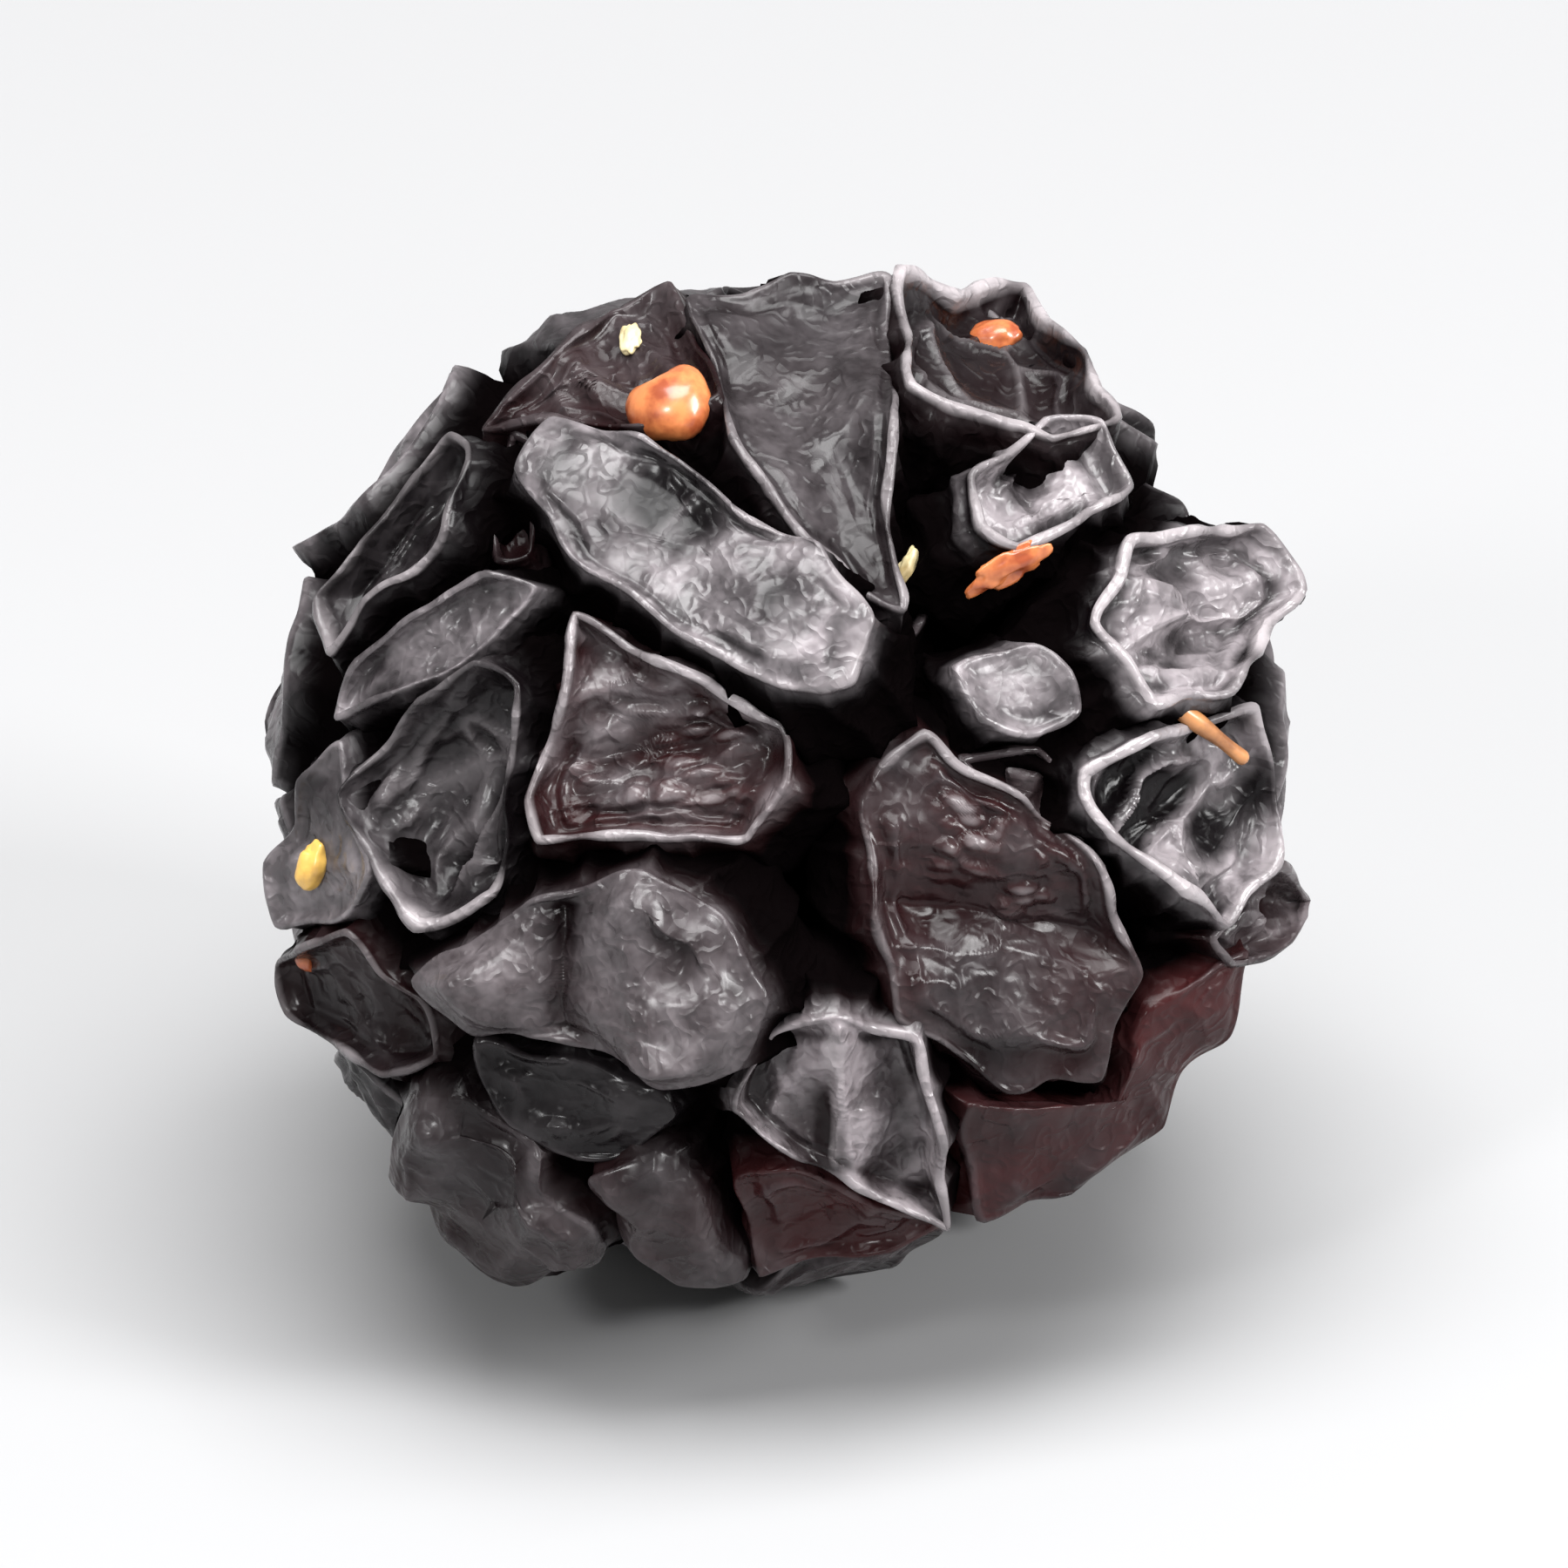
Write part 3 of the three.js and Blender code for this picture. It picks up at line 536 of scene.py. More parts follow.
# %% [markdown]
# ## The fine grid of one drupelet
# Rows crowd toward the rim, where the form is sharpest. At every point the grid also remembers how far it is
# from the rim (away), how far down the side (down), and whether it is on top. All the skin's relief and
# colour is drawn from these three. Drupelets of the base end, which face us, get a grid about twice as
# fine as the others.

# %% Fine grid
# space between columns, and rows from the rim to the root
SEEN_STEP, SEEN_SIDE_ROWS = 0.06, 31
ROW_STEP, ROW_SIDE_ROWS = 0.115, 16
COLUMN_LIMITS, TOP_ROW_LIMITS = (56, 240), (14, 56)
TOP_ROWS_PER_STEP = 1.35
TOP_CROWDING, SIDE_CROWDING = 1.35, 1.3
FINE_SIDE_DEPTH = 2.0
LAST_SIDE_PLACES = [2.6, 3.2, ROOT_DEPTH]
RIM_EASINGS = 2
FOLD_FADE = 0.16


def fine_grid(plan):
    control, rim_ring = plan["rings"], plan["rim_ring"]
    rim = control[rim_ring]
    rim_length = np.linalg.norm(np.roll(rim, -1, axis=0) - rim, axis=1).sum()
    spacing, side_rows = (SEEN_STEP, SEEN_SIDE_ROWS) if plan["seen"] else (ROW_STEP, ROW_SIDE_ROWS)
    around = int(np.clip(rim_length / spacing, *COLUMN_LIMITS))
    top_rows = int(np.clip(plan["reach"] / spacing * TOP_ROWS_PER_STEP, *TOP_ROW_LIMITS))
    side_knots = np.array([0.0] + [depth for _, depth in SIDE_RINGS] + [ROOT_DEPTH])
    top_places = 1 - (1 - np.linspace(0, 1, top_rows)) ** TOP_CROWDING
    side_places = FINE_SIDE_DEPTH * np.linspace(0, 1, side_rows - len(LAST_SIDE_PLACES)) ** SIDE_CROWDING
    side_places = np.concatenate([side_places, LAST_SIDE_PLACES])
    top_weights = curve_weights(np.array(plan["top_knots"]), top_places)
    top = np.einsum("rk,kcx->rcx", top_weights, control[:rim_ring + 1])
    side = np.einsum("rk,kcx->rcx", curve_weights(side_knots, side_places), control[rim_ring:])
    grid = np.concatenate([top, side[1:]])
    grid = np.einsum("ck,rkx->rcx", round_the_rim(plan, around), grid)
    grid[:top_rows] = calm_middle(grid[:top_rows], plan, top_places)
    rim_row = top_rows - 1
    near = slice(rim_row - 2, rim_row + 3)
    for _ in range(RIM_EASINGS):
        eased = grid.copy()
        eased[near] = (grid[rim_row - 3:rim_row + 2] + 2 * grid[near] + grid[rim_row - 1:rim_row + 4]) / 4
        grid = eased
    down = np.concatenate([np.zeros(top_rows), side_places[1:]])[:, None]
    fold_share = np.concatenate([np.clip((1 - top_places) / FOLD_FADE, 0, 1), np.zeros(side_rows - 1)])
    return SimpleNamespace(
        grid=grid, shape=grid.shape[:2], around=around, rim_length=rim_length,
        away=np.concatenate([(1 - top_places) * plan["reach"], side_places[1:]])[:, None],
        down=down, on_top=(down == 0) * 1.0, fold_share=fold_share[:, None])


trial = fine_grid(plans[0])
print(plans[0]["name"], "has", trial.shape[0], "rows of", trial.shape[1], "points")

# %% [markdown]
# ## Folds, bends and creases
# Drying skin does three things at once. It folds across the drupelet, it bends everywhere a little, and it
# creases into fields. The creases are drawn out along the folds, since skin creases across its pull. Every
# step adds to the same record of the grid, which is called skin.

# %% Fold, bend and crease
# scale and first salt
BEND_WIDE, BEND_NARROW = (1.5, 11), (0.7, 14)
NARROW_BEND_SHARE, BEND_SIZE = 0.5, 0.13
DRAWN_OUT, DRAWN_IN = 0.5, 0.45
FIELD_SIZE, FIELD_SHARPNESS, FIELD_BENT = 1.55, 1.7, 0.3
WRINKLE_SIZE, WRINKLE_SHARPNESS, WRINKLE_BENT = 0.6, 1.9, 0.15
SHRIVEL, SHRIVEL_PATCHES, MOST_SHRIVEL = 0.5, 0.9, 1.2


def grid_normals(grid, outward):
    along = np.roll(grid, -1, axis=1) - np.roll(grid, 1, axis=1)
    across = np.gradient(grid, axis=0)
    normals = np.cross(along, across)
    size = np.linalg.norm(normals, axis=2, keepdims=True)
    normals = np.where(size > 1e-9, normals / np.maximum(size, 1e-9), outward)
    away = grid - grid.mean(axis=(0, 1))
    return normals if (normals * away).sum() > 0 else -normals


def fold_and_bend(skin, plan):
    points = skin.grid.reshape(-1, 3)
    skin.folded = fold_height(points, plan["fold"]).reshape(skin.shape) * skin.fold_share
    skin.grid = skin.grid + skin.folded[:, :, None] * plan["normal"]
    skin.bend = noise_vectors(points, *BEND_WIDE) + NARROW_BEND_SHARE * noise_vectors(points, *BEND_NARROW)
    skin.grid = skin.grid + (BEND_SIZE * skin.bend).reshape(skin.grid.shape)
    skin.normals = grid_normals(skin.grid, plan["normal"])
    skin.points = skin.grid.reshape(-1, 3)


def over_skin(skin, scale, salt):
    return smooth_noise(skin.points, scale, salt).reshape(skin.shape)


def patchy(skin, mean, spread, least=0):
    """A share that comes and goes with the unevenness of the skin."""
    return np.clip(mean + spread * skin.uneven, least, 1)


def crumpled(skin, bent, size, salt, sharpness):
    """Sharp ridges at the borders of scattered cells, and the tilt of the flat field inside each."""
    one, two, tilt = cell_noise(skin.drawn + bent * skin.bend, size, salt)
    inner = np.clip((two - one) * sharpness, 0, 1)
    return ((1 - inner) ** 2).reshape(skin.shape), (tilt * inner).reshape(skin.shape)


def crease(skin, plan):
    along = plan["fold"]["along"]
    run = np.cross(along, plan["normal"])
    skin.drawn = skin.points + DRAWN_OUT * (skin.points @ along)[:, None] * along
    skin.drawn = skin.drawn - DRAWN_IN * (skin.points @ run)[:, None] * run
    skin.fields, skin.tilts = crumpled(skin, FIELD_BENT, FIELD_SIZE, 21, FIELD_SHARPNESS)
    skin.wrinkles, skin.small_tilts = crumpled(skin, WRINKLE_BENT, WRINKLE_SIZE, 31, WRINKLE_SHARPNESS)
    skin.shrivel = np.clip(SHRIVEL + SHRIVEL_PATCHES * over_skin(skin, 1.8, 43), 0.0, MOST_SHRIVEL)
    skin.swell = over_skin(skin, 0.9, 41)
    skin.uneven = over_skin(skin, 0.5, 42)


fold_and_bend(trial, plans[0])
print("folds in mm:", trial.folded.min().round(2), "to", trial.folded.max().round(2))

# %% [markdown]
# ## The bead along the rim
# Where two walls of skin meet they dry into a hard, thin bead that catches the light, and the material
# paints a silver highlight on it too. It isn't even: on a plump drupelet it hardly shows, and on any other it
# fades in places. Just inside a bright bead the skin dips into a groove, darkened with painted shade, with a
# weaker second ridge beyond. How much each rim gleams, in its bead, its groove and its painted highlight, is
# listed by name.

# %% Beads, second ridges, grooves and pleats
PLAIN_GLEAM = 0.5
# gleam sets the bead, the groove and the painted highlight of a rim
RIM_GLEAM = {"hooked_rim": 1.6, "hexagon": 1.3, "cup": 1.2, "trapezoid": 1.3, "long_rims": 1.1,
             "thin_loop": 1.3, "dark_loop": 1.1, "small_pinched": 1.3, "ridged": 1.0, "long_plate": 0.9,
             "top_plate": 0.8, "plump": 0.2, "round_low": 0.35, "narrow_low": 0.3, "under_fold": 0.3,
             "smooth_red": 0.2, "brown_top": 0.3, "large_right": 0.8, "small_flat": 0.5,
             "dark_fold": 0.15, "thin_dark": 0.2, "recess": 0.2}
BEAD_WIDTH, BEAD_SWELL = 0.085, 0.6
# how strong the bead is on the whole, how much that wanders, and what is left where it is weakest
FADING, FADING_WANDER = 0.62, 0.9
FAINTEST, FAINTEST_BY_GLEAM, BRIGHT_GLEAM, FAINTEST_OF_BRIGHT = 0.12, 0.6, 0.6, 0.9
SECOND_PLACE, SECOND_WANDER, SECOND_WIDTH = 0.46, 0.14, 0.08
GROOVE_PLACE, GROOVE_WIDTH = 0.30, 0.12
PLEAT_SPACING, FEWEST_PLEATS, PLEAT_WANDER, PLEAT_START = 0.9, 4, 1.4, 0.7


def bead_the_rim(skin, plan):
    skin.gleam = RIM_GLEAM.get(plan["name"], PLAIN_GLEAM)
    never_below = FAINTEST + FAINTEST_BY_GLEAM * max(skin.gleam - BRIGHT_GLEAM, 0)
    never_below = min(never_below, FAINTEST_OF_BRIGHT)
    fading = np.clip(FADING + FADING_WANDER * over_skin(skin, 1.7, 44), never_below, 1.0)
    skin.bead = np.exp(-(skin.away / (BEAD_WIDTH * (1 + BEAD_SWELL * skin.swell))) ** 2) * fading
    from_second = skin.away - SECOND_PLACE - SECOND_WANDER * skin.swell
    skin.second = np.exp(-(from_second / SECOND_WIDTH) ** 2) * patchy(skin, 0.5, 1.4) * skin.on_top
    groove = np.exp(-((skin.away - GROOVE_PLACE) / GROOVE_WIDTH) ** 2) * skin.on_top
    skin.groove = groove * min(skin.gleam, 1.0) * patchy(skin, 0.75, 1.0)


def pleat_the_side(skin):
    share_round = np.arange(skin.around) / skin.around
    pleats = max(FEWEST_PLEATS, round(skin.rim_length / PLEAT_SPACING))
    turn = math.pi * pleats * share_round[None] + PLEAT_WANDER * skin.bend[:, 0].reshape(skin.shape)
    skin.pleats = (1 - np.abs(np.sin(turn))) ** 2 * np.clip(skin.down / PLEAT_START, 0, 1)


print("rims that gleam more than plainly:", sum(gleam > PLAIN_GLEAM for gleam in RIM_GLEAM.values()))

# %% [markdown]
# ## Grains and dimples
# Two drupelets are set with small wet grains, where the flesh has dried onto the skin in beads. Round bumps
# of one size would look like pearls, so the grains are cells stretched along the creases. Two plump ones
# have a round dimple, where the skin has sunk in between pip and wall.

# %% Grains and dimples
# where the grains lie on the base end, and how far round it they reach
GRAINY = {"trapezoid": (-1.5, 0.7, 1.9), "large_right": (3.0, -0.3, 1.5)}
GRAIN_SPACING, GRAIN_RADIUS, GRAIN_BENT, GRAIN_WANDER = 0.36, 0.62, 0.15, 0.5
# where the dimple lies on the base end, its radius and its depth
DIMPLES = {"plump": (-1.6, -2.45, 0.6, 0.42), "round_low": (-4.3, -5.6, 0.7, 0.3)}
DIMPLE_HEIGHT_SHARE, DIMPLE_WANDER = 0.8, 0.12


def grain_the_top(skin, plan):
    skin.grain_field = skin.grains = np.zeros(skin.shape)
    if plan["name"] in GRAINY:
        x, y, radius = GRAINY[plan["name"]]
        beside = np.hypot(skin.points[:, 0] - x, skin.points[:, 1] - y).reshape(skin.shape)
        nearest, _, _ = cell_noise(skin.drawn + GRAIN_BENT * skin.bend, GRAIN_SPACING, 61)
        nearest = nearest.reshape(skin.shape)
        field = np.exp(-((beside + GRAIN_WANDER * skin.swell) / radius) ** 4)
        skin.grain_field = field * skin.inside * skin.on_top * patchy(skin, 0.85, 1.2, least=0.2)
        skin.grains = np.clip(1 - (nearest / GRAIN_RADIUS) ** 2, 0, 1)
    skin.grainy = skin.grains * skin.grain_field


def dimple_the_top(skin, plan):
    skin.dimple, skin.dimple_depth = np.zeros(skin.shape), 0.0
    if plan["name"] in DIMPLES:
        x, y, radius, skin.dimple_depth = DIMPLES[plan["name"]]
        beside = np.hypot(skin.points[:, 0] - x, DIMPLE_HEIGHT_SHARE * (skin.points[:, 1] - y))
        beside = beside + DIMPLE_WANDER * skin.bend[:, 1]
        skin.dimple = np.exp(-(beside / radius) ** 4).reshape(skin.shape) * skin.on_top


print("grainy:", ", ".join(GRAINY), "- dimpled:", ", ".join(DIMPLES))

# %% [markdown]
# ## All the relief in one height
# Bump in a material never changes an outline, so every form down to 0.05 mm is real height of the mesh. The
# parts are added up, and each point moves out along its own normal by the sum.

# %% Raise the skin
BEAD_HEIGHT, BEAD_UNEVEN, SECOND_HEIGHT = 0.085, 0.045, 0.085
WRINKLE_HEIGHT, SMALL_TILT_HEIGHT = 0.046, 0.050
FIELD_HEIGHT, TILT_HEIGHT, SWELL_HEIGHT, RELIEF_DROP = 0.20, 0.30, 0.06, 0.06
PLEAT_HEIGHT, GRAIN_HEIGHT, GROOVE_DEPTH = 0.22, 0.13, 0.05
ROW_BEAD_SHARE, ROW_WRINKLE_SHARE = 0.6, 0.4
CALM_RIM_WIDTH = 0.28
SIDE_FADE_START, SIDE_FADE_DEPTH = 1.5, 2.0


def raise_skin(skin, plan):
    bead_share = 1.0 if plan["seen"] else ROW_BEAD_SHARE
    wrinkle_share = 1.0 if plan["seen"] else ROW_WRINKLE_SHARE
    height = (skin.bead * (BEAD_HEIGHT + BEAD_UNEVEN * skin.uneven) * bead_share
              + SECOND_HEIGHT * skin.second * plan["crumple"])
    small = WRINKLE_HEIGHT * skin.wrinkles + SMALL_TILT_HEIGHT * skin.small_tilts
    small = skin.shrivel * small * wrinkle_share
    skin.relief = FIELD_HEIGHT * skin.fields + TILT_HEIGHT * skin.tilts + small
    skin.relief = skin.relief + SWELL_HEIGHT * skin.swell - RELIEF_DROP
    height = height + plan["crumple"] * skin.inside * skin.fade * skin.relief
    height = height + PLEAT_HEIGHT * skin.pleats * skin.fade
    height = height + GRAIN_HEIGHT * skin.grainy
    height = height - skin.dimple_depth * skin.dimple
    height = height - GROOVE_DEPTH * skin.groove
    height[0] = height[0].mean()
    skin.grid = skin.grid + height[:, :, None] * skin.normals
    skin.grid[0] = skin.grid[0].mean(axis=0)
    skin.grid[-1] = skin.grid[-1].mean(axis=0)


def grow_skin(plan):
    skin = fine_grid(plan)
    fold_and_bend(skin, plan)
    crease(skin, plan)
    bead_the_rim(skin, plan)
    pleat_the_side(skin)
    skin.inside = 1 - np.exp(-(skin.away / CALM_RIM_WIDTH) ** 2)
    skin.fade = np.clip(SIDE_FADE_START - skin.down / SIDE_FADE_DEPTH, 0, 1)
    grain_the_top(skin, plan)
    dimple_the_top(skin, plan)
    raise_skin(skin, plan)
    return skin


print("the highest bead stands", BEAD_HEIGHT + BEAD_UNEVEN, "mm over the skin")

# %% [markdown]
# ## What each point tells the material
# The look of a point depends on where it lies. Beads, fold crests and grain tops get a painted highlight, the
# ridges a lighter painted sheen, and gaps and the lower walls black painted shade. The skin's grey bloom
# varies in patches, is lighter on raised skin as painted sheen, and darker in grooves and dimples as painted
# shade. Painting a picture for this would need unwrapping. Instead each point carries five numbers, which
# the material reads by name: rim, deep, edge, red and grey.

# %% Values for the material
# painted gap shade: the depth under the egg where it starts on sides and on tops, and the share on tops
GAP_START, TOP_GAP_START, TOP_GAP_SHARE = 0.5, 1.2, 0.5
# painted shade down the walls: where it starts, over how many mm it grows, and its share
WALL_START, WALL_DEPTH, WALL_SHARE = 0.08, 0.75, 0.95
# greyness of satin skin (its grey bloom), how much it varies in patches, and the painted sheen that each mm
# of fold adds on crests and takes away in valleys
SATIN, SATIN_PATCHES, PAINTED_SHEEN_PER_FOLD_MM = 0.75, 0.6, 1.8
# the same for creased skin: a base grey, and painted sheen that each mm of relief adds on raised skin and
# takes away in hollows
CREASED, PAINTED_SHEEN_PER_RELIEF_MM = 0.24, 6.5
# painted shade: the share of grey taken away in dimples, between grains and in grooves
DIMPLE_PAINTED_SHADE, BETWEEN_GRAINS_PAINTED_SHADE, GROOVE_PAINTED_SHADE = 0.8, 0.7, 0.85
# walls keep this share of the grey at the rim and lose it as painted shade over this depth in mm
WALL_GREY_KEPT, WALL_PAINTED_SHADE_DEPTH = 0.7, 0.4
# crests of folds get a painted highlight from a height of LOW_CREST on, which grows brighter over CREST_RANGE
CREST_WIDTH, LOW_CREST, CREST_RANGE = 0.11, 0.25, 0.3
# shares of the painted highlight on fold crests and on field ridges; FIELD_SHARE also sets the painted sheen
# of field ridges
CREST_SHARE, CREST_GLEAM_RANGE, FIELD_SHARE = 0.75, 0.6, 0.6
# painted highlight on the tops of grains, and how sharply it peaks
GRAIN_TOP_PAINTED_HIGHLIGHT, GRAIN_TOP_HIGHLIGHT_POWER = 0.65, 1.5
# shares of the second ridges and the grain tops in the painted ridge sheen, and how much redder the grains
# are
SECOND_SHARE, GRAIN_SHARE, GRAIN_RED = 0.7, 0.9, 0.5


def under_envelope(points):
    """Depth under the egg that the rims lie on."""
    width = np.where(points[:, 2] > 0, FACE_RADIUS, GIRTH_RADIUS)
    length = np.where(points[:, 2] > 0, BASE_LENGTH, TIP_LENGTH)
    share = np.sqrt((points[:, 0] ** 2 + points[:, 1] ** 2) / width**2 + (points[:, 2] / length) ** 2)
    return (1 - share) * GIRTH_RADIUS


def depth_values(skin):
    """From 0 in the open to 1 in a gap, for the black painted shade and the duller gloss there.
    Walls count as gaps sooner than tops do.
    """
    sunk = under_envelope(skin.grid.reshape(-1, 3)).reshape(skin.shape)
    wall = WALL_SHARE * np.clip((skin.down - WALL_START) / WALL_DEPTH, 0, 1)
    gap = np.maximum(np.clip(sunk - GAP_START, 0, 1), wall)
    return np.where(skin.on_top > 0, TOP_GAP_SHARE * np.clip(sunk - TOP_GAP_START, 0, 1), gap)


def bloom_sheen_and_shade_values(skin, creased):
    """How grey the skin is. Where it is crumpled the grey follows the creases, as painted sheen on raised
    skin and painted shade in hollows; where it isn't, it is a grey bloom in soft patches with painted sheen
    on fold crests. Dimples, grooves, the skin between grains and the lower walls are darkened with painted
    shade.
    """
    satin = SATIN + SATIN_PATCHES * over_skin(skin, 1.4, 45) + PAINTED_SHEEN_PER_FOLD_MM * skin.folded
    bloom_sheen_shade = creased * (CREASED + PAINTED_SHEEN_PER_RELIEF_MM * skin.relief) + (1 - creased) * satin
    bloom_sheen_shade = np.clip(bloom_sheen_shade, 0, 1) * (1 - DIMPLE_PAINTED_SHADE * skin.dimple)
    bloom_sheen_shade = bloom_sheen_shade * (1 - BETWEEN_GRAINS_PAINTED_SHADE * skin.grain_field * (1 - skin.grains)) * (1 - GROOVE_PAINTED_SHADE * skin.groove)
    return bloom_sheen_shade * np.where(skin.on_top > 0, 1.0, WALL_GREY_KEPT * np.clip(1 - skin.down / WALL_PAINTED_SHADE_DEPTH, 0, 1))


def painted_highlight_values(skin, plan, creased):
    """Painted highlight: how brightly beads, the crests of high folds and the tops of grains are painted
    silver.
    """
    fold = plan["fold"]
    from_crest = np.abs(np.sin(fold_phase(skin.points, fold))).reshape(skin.shape) * fold["spacing"] / math.pi
    crest = np.exp(-(from_crest / CREST_WIDTH) ** 2) * skin.fold_share
    crest = crest * np.clip((fold["height"] - LOW_CREST) / CREST_RANGE, 0, 1)
    crest = crest + FIELD_SHARE * skin.fields * skin.inside * creased
    crest_gleam = CREST_SHARE * np.clip((skin.gleam - PLAIN_GLEAM) / CREST_GLEAM_RANGE, 0, 1)
    if plan["name"] in GRAINY:
        crest_gleam = 0.0
    bead = skin.bead * patchy(skin, 0.75, 0.5) * skin.gleam
    edge = np.maximum(bead, crest * crest_gleam * skin.on_top)
    return np.maximum(edge, GRAIN_TOP_PAINTED_HIGHLIGHT * skin.grainy ** GRAIN_TOP_HIGHLIGHT_POWER)


def material_values(skin, plan):
    creased = min(plan["crumple"], 1.0)
    # painted sheen on ridges: beads, second ridges, field ridges and grain tops, carried by rim
    ridge = skin.bead + SECOND_SHARE * skin.second
    ridge = ridge + FIELD_SHARE * skin.fields * skin.inside * skin.fade * plan["crumple"]
    return {"rim": np.maximum(np.clip(ridge, 0, 1), GRAIN_SHARE * skin.grainy), "deep": depth_values(skin),
            "edge": painted_highlight_values(skin, plan, creased),
            "red": np.clip(plan["red"] + GRAIN_RED * skin.grainy, 0, 1),
            "grey": plan["grey"] * bloom_sheen_and_shade_values(skin, creased)}


trial_values = material_values(grow_skin(plans[0]), plans[0])
print("largest values of", plans[0]["name"])
for label, value in trial_values.items():
    print(" ", label, float(value.max().round(2)))

# %% [markdown]
# ## Meshes in Blender
# The grid becomes one closed mesh: the top and the root each end in a single point. Every visible piece
# rides on the berry's one body and takes the place of its solid.

# %% Turn grids into pieces
def finish_piece(piece, material):
    """Colour a piece and say which body it rides on and which solid it hides."""
    piece.data.materials.append(material)
    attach(piece, "root")
    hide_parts("berry")


def shade_smooth(mesh):
    mesh.polygons.foreach_set("use_smooth", [True] * len(mesh.polygons))
    mesh.update()


def closed_mesh(name, grid, values):
    """A piece whose first and last rows are drawn together to a point, with its values at each point."""
    rows, around = grid.shape[:2]
    inner = grid[1:-1].reshape(-1, 3)
    points = np.concatenate([grid[:1, 0], inner, grid[-1:, 0]])
    last = len(points) - 1
    column = np.arange(around)
    following = (column + 1) % around
    faces = [(0, 1 + a, 1 + b) for a, b in zip(column, following)]
    for row in range(rows - 3):
        low, high = 1 + row * around, 1 + (row + 1) * around
        faces += [(low + a, high + a, high + b, low + b) for a, b in zip(column, following)]
    low = 1 + (rows - 3) * around
    faces += [(last, low + b, low + a) for a, b in zip(column, following)]
    mesh = bpy.data.meshes.new(name)
    mesh.from_pydata((points * MM).tolist(), [], faces)
    for label, value in values.items():
        flat = np.concatenate([value[:1, 0], value[1:-1].reshape(-1), value[-1:, 0]]).astype(np.float32)
        mesh.attributes.new(label, "FLOAT", "POINT").data.foreach_set("value", flat)
    shade_smooth(mesh)
    piece = bpy.data.objects.new(name, mesh)
    bpy.context.scene.collection.objects.link(piece)
    return piece


def ball_points(name, subdivisions):
    """A round piece to be shaped, and its points on a ball of radius 1."""
    bpy.ops.mesh.primitive_ico_sphere_add(subdivisions=subdivisions, radius=1)
    piece = bpy.context.object
    piece.name = name
    return piece, np.array([vertex.co for vertex in piece.data.vertices])


# %% [markdown]
# ## The skin
# Dried bramble skin is nearly black. It shines where it is stretched over a rim and goes dull and greyish
# in the fields between. Where the juice has dried thin it is red-brown, as if lit from within. One material
# serves every drupelet: it starts from black, and lays each colour over it as far as the point's own five
# numbers say, broken up by noise so that no border is clean. Some of these colours are painted light: a
# silver painted highlight on beads, crests and grain tops, a lighter painted sheen on ridges and raised skin,
# and black painted shade in gaps, grooves, dimples and down the walls.

# %% Helpers for materials
def new_material(name):
    material = bpy.data.materials.new(name)
    material.use_nodes = True
    tree = material.node_tree
    return material, tree, tree.nodes["Principled BSDF"]


def attribute(tree, name):
    node = tree.nodes.new("ShaderNodeAttribute")
    node.attribute_type = "GEOMETRY"
    node.attribute_name = name
    return node.outputs["Fac"]


def noise(tree, scale, detail=4.0, roughness=0.55):
    place = tree.nodes.new("ShaderNodeTexCoord")
    node = tree.nodes.new("ShaderNodeTexNoise")
    node.inputs["Scale"].default_value = scale
    node.inputs["Detail"].default_value = detail
    node.inputs["Roughness"].default_value = roughness
    tree.links.new(place.outputs["Object"], node.inputs["Vector"])
    return node.outputs["Fac"]


def fit(tree, value, given, wanted):
    """The value stretched from the given range to the wanted one, and held at its ends."""
    node = tree.nodes.new("ShaderNodeMapRange")
    tree.links.new(value, node.inputs["Value"])
    for label, number in zip(("From Min", "From Max", "To Min", "To Max"), (*given, *wanted)):
        node.inputs[label].default_value = number
    return node.outputs["Result"]


def math_node(tree, operation, a, b):
    node = tree.nodes.new("ShaderNodeMath")
    node.operation = operation
    for socket, value in zip(node.inputs, (a, b)):
        if isinstance(value, (int, float)):
            socket.default_value = value
        else:
            tree.links.new(value, socket)
    return node.outputs[0]


def mix_colour(tree, factor, a, b):
    node = tree.nodes.new("ShaderNodeMix")
    node.data_type = "RGBA"
    tree.links.new(factor, node.inputs["Factor"])
    for socket, value in ((node.inputs[6], a), (node.inputs[7], b)):
        if isinstance(value, tuple):
            socket.default_value = (*value, 1)
        else:
            tree.links.new(value, socket)
    return node.outputs[2]


def fine_creases(tree, scale):
    """Hair-fine sharp creases that wander over the skin, for the bump."""
    away = math_node(tree, "SUBTRACT", noise(tree, scale, 1.0), 0.5)
    return fit(tree, math_node(tree, "ABSOLUTE", away, 0.0), (0.0, 0.10), (1.0, 0.0))


print("materials so far:", len(bpy.data.materials))

# %% Colour of the skin
# the skin's own black and juice red, the black of the painted gap shade, the grey bloom that also carries
# painted sheen, the painted sheen of ridges, and the silver painted highlight
DRY_BLACK, PAINTED_GAP_SHADE = (0.0030, 0.0020, 0.0025), (0.0014, 0.0009, 0.0010)
GREY_BLOOM_AND_SHEEN, JUICE_RED = (0.225, 0.200, 0.211), (0.036, 0.0080, 0.0085)
PAINTED_RIDGE_SHEEN, PAINTED_EDGE_HIGHLIGHT = (0.060, 0.050, 0.054), (0.32, 0.29, 0.30)
PATCHES_PER_M, BLOTCHES_PER_M = 420, 1500

berry_skin, tree, shader = new_material("berry_skin")
rim_value, deep_value = attribute(tree, "rim"), attribute(tree, "deep")
red_value, grey_value, painted_highlight_fac = [attribute(tree, label) for label in ("red", "grey", "edge")]
patches = noise(tree, PATCHES_PER_M, 2.0)
blotches = noise(tree, BLOTCHES_PER_M, 3.0, 0.65)
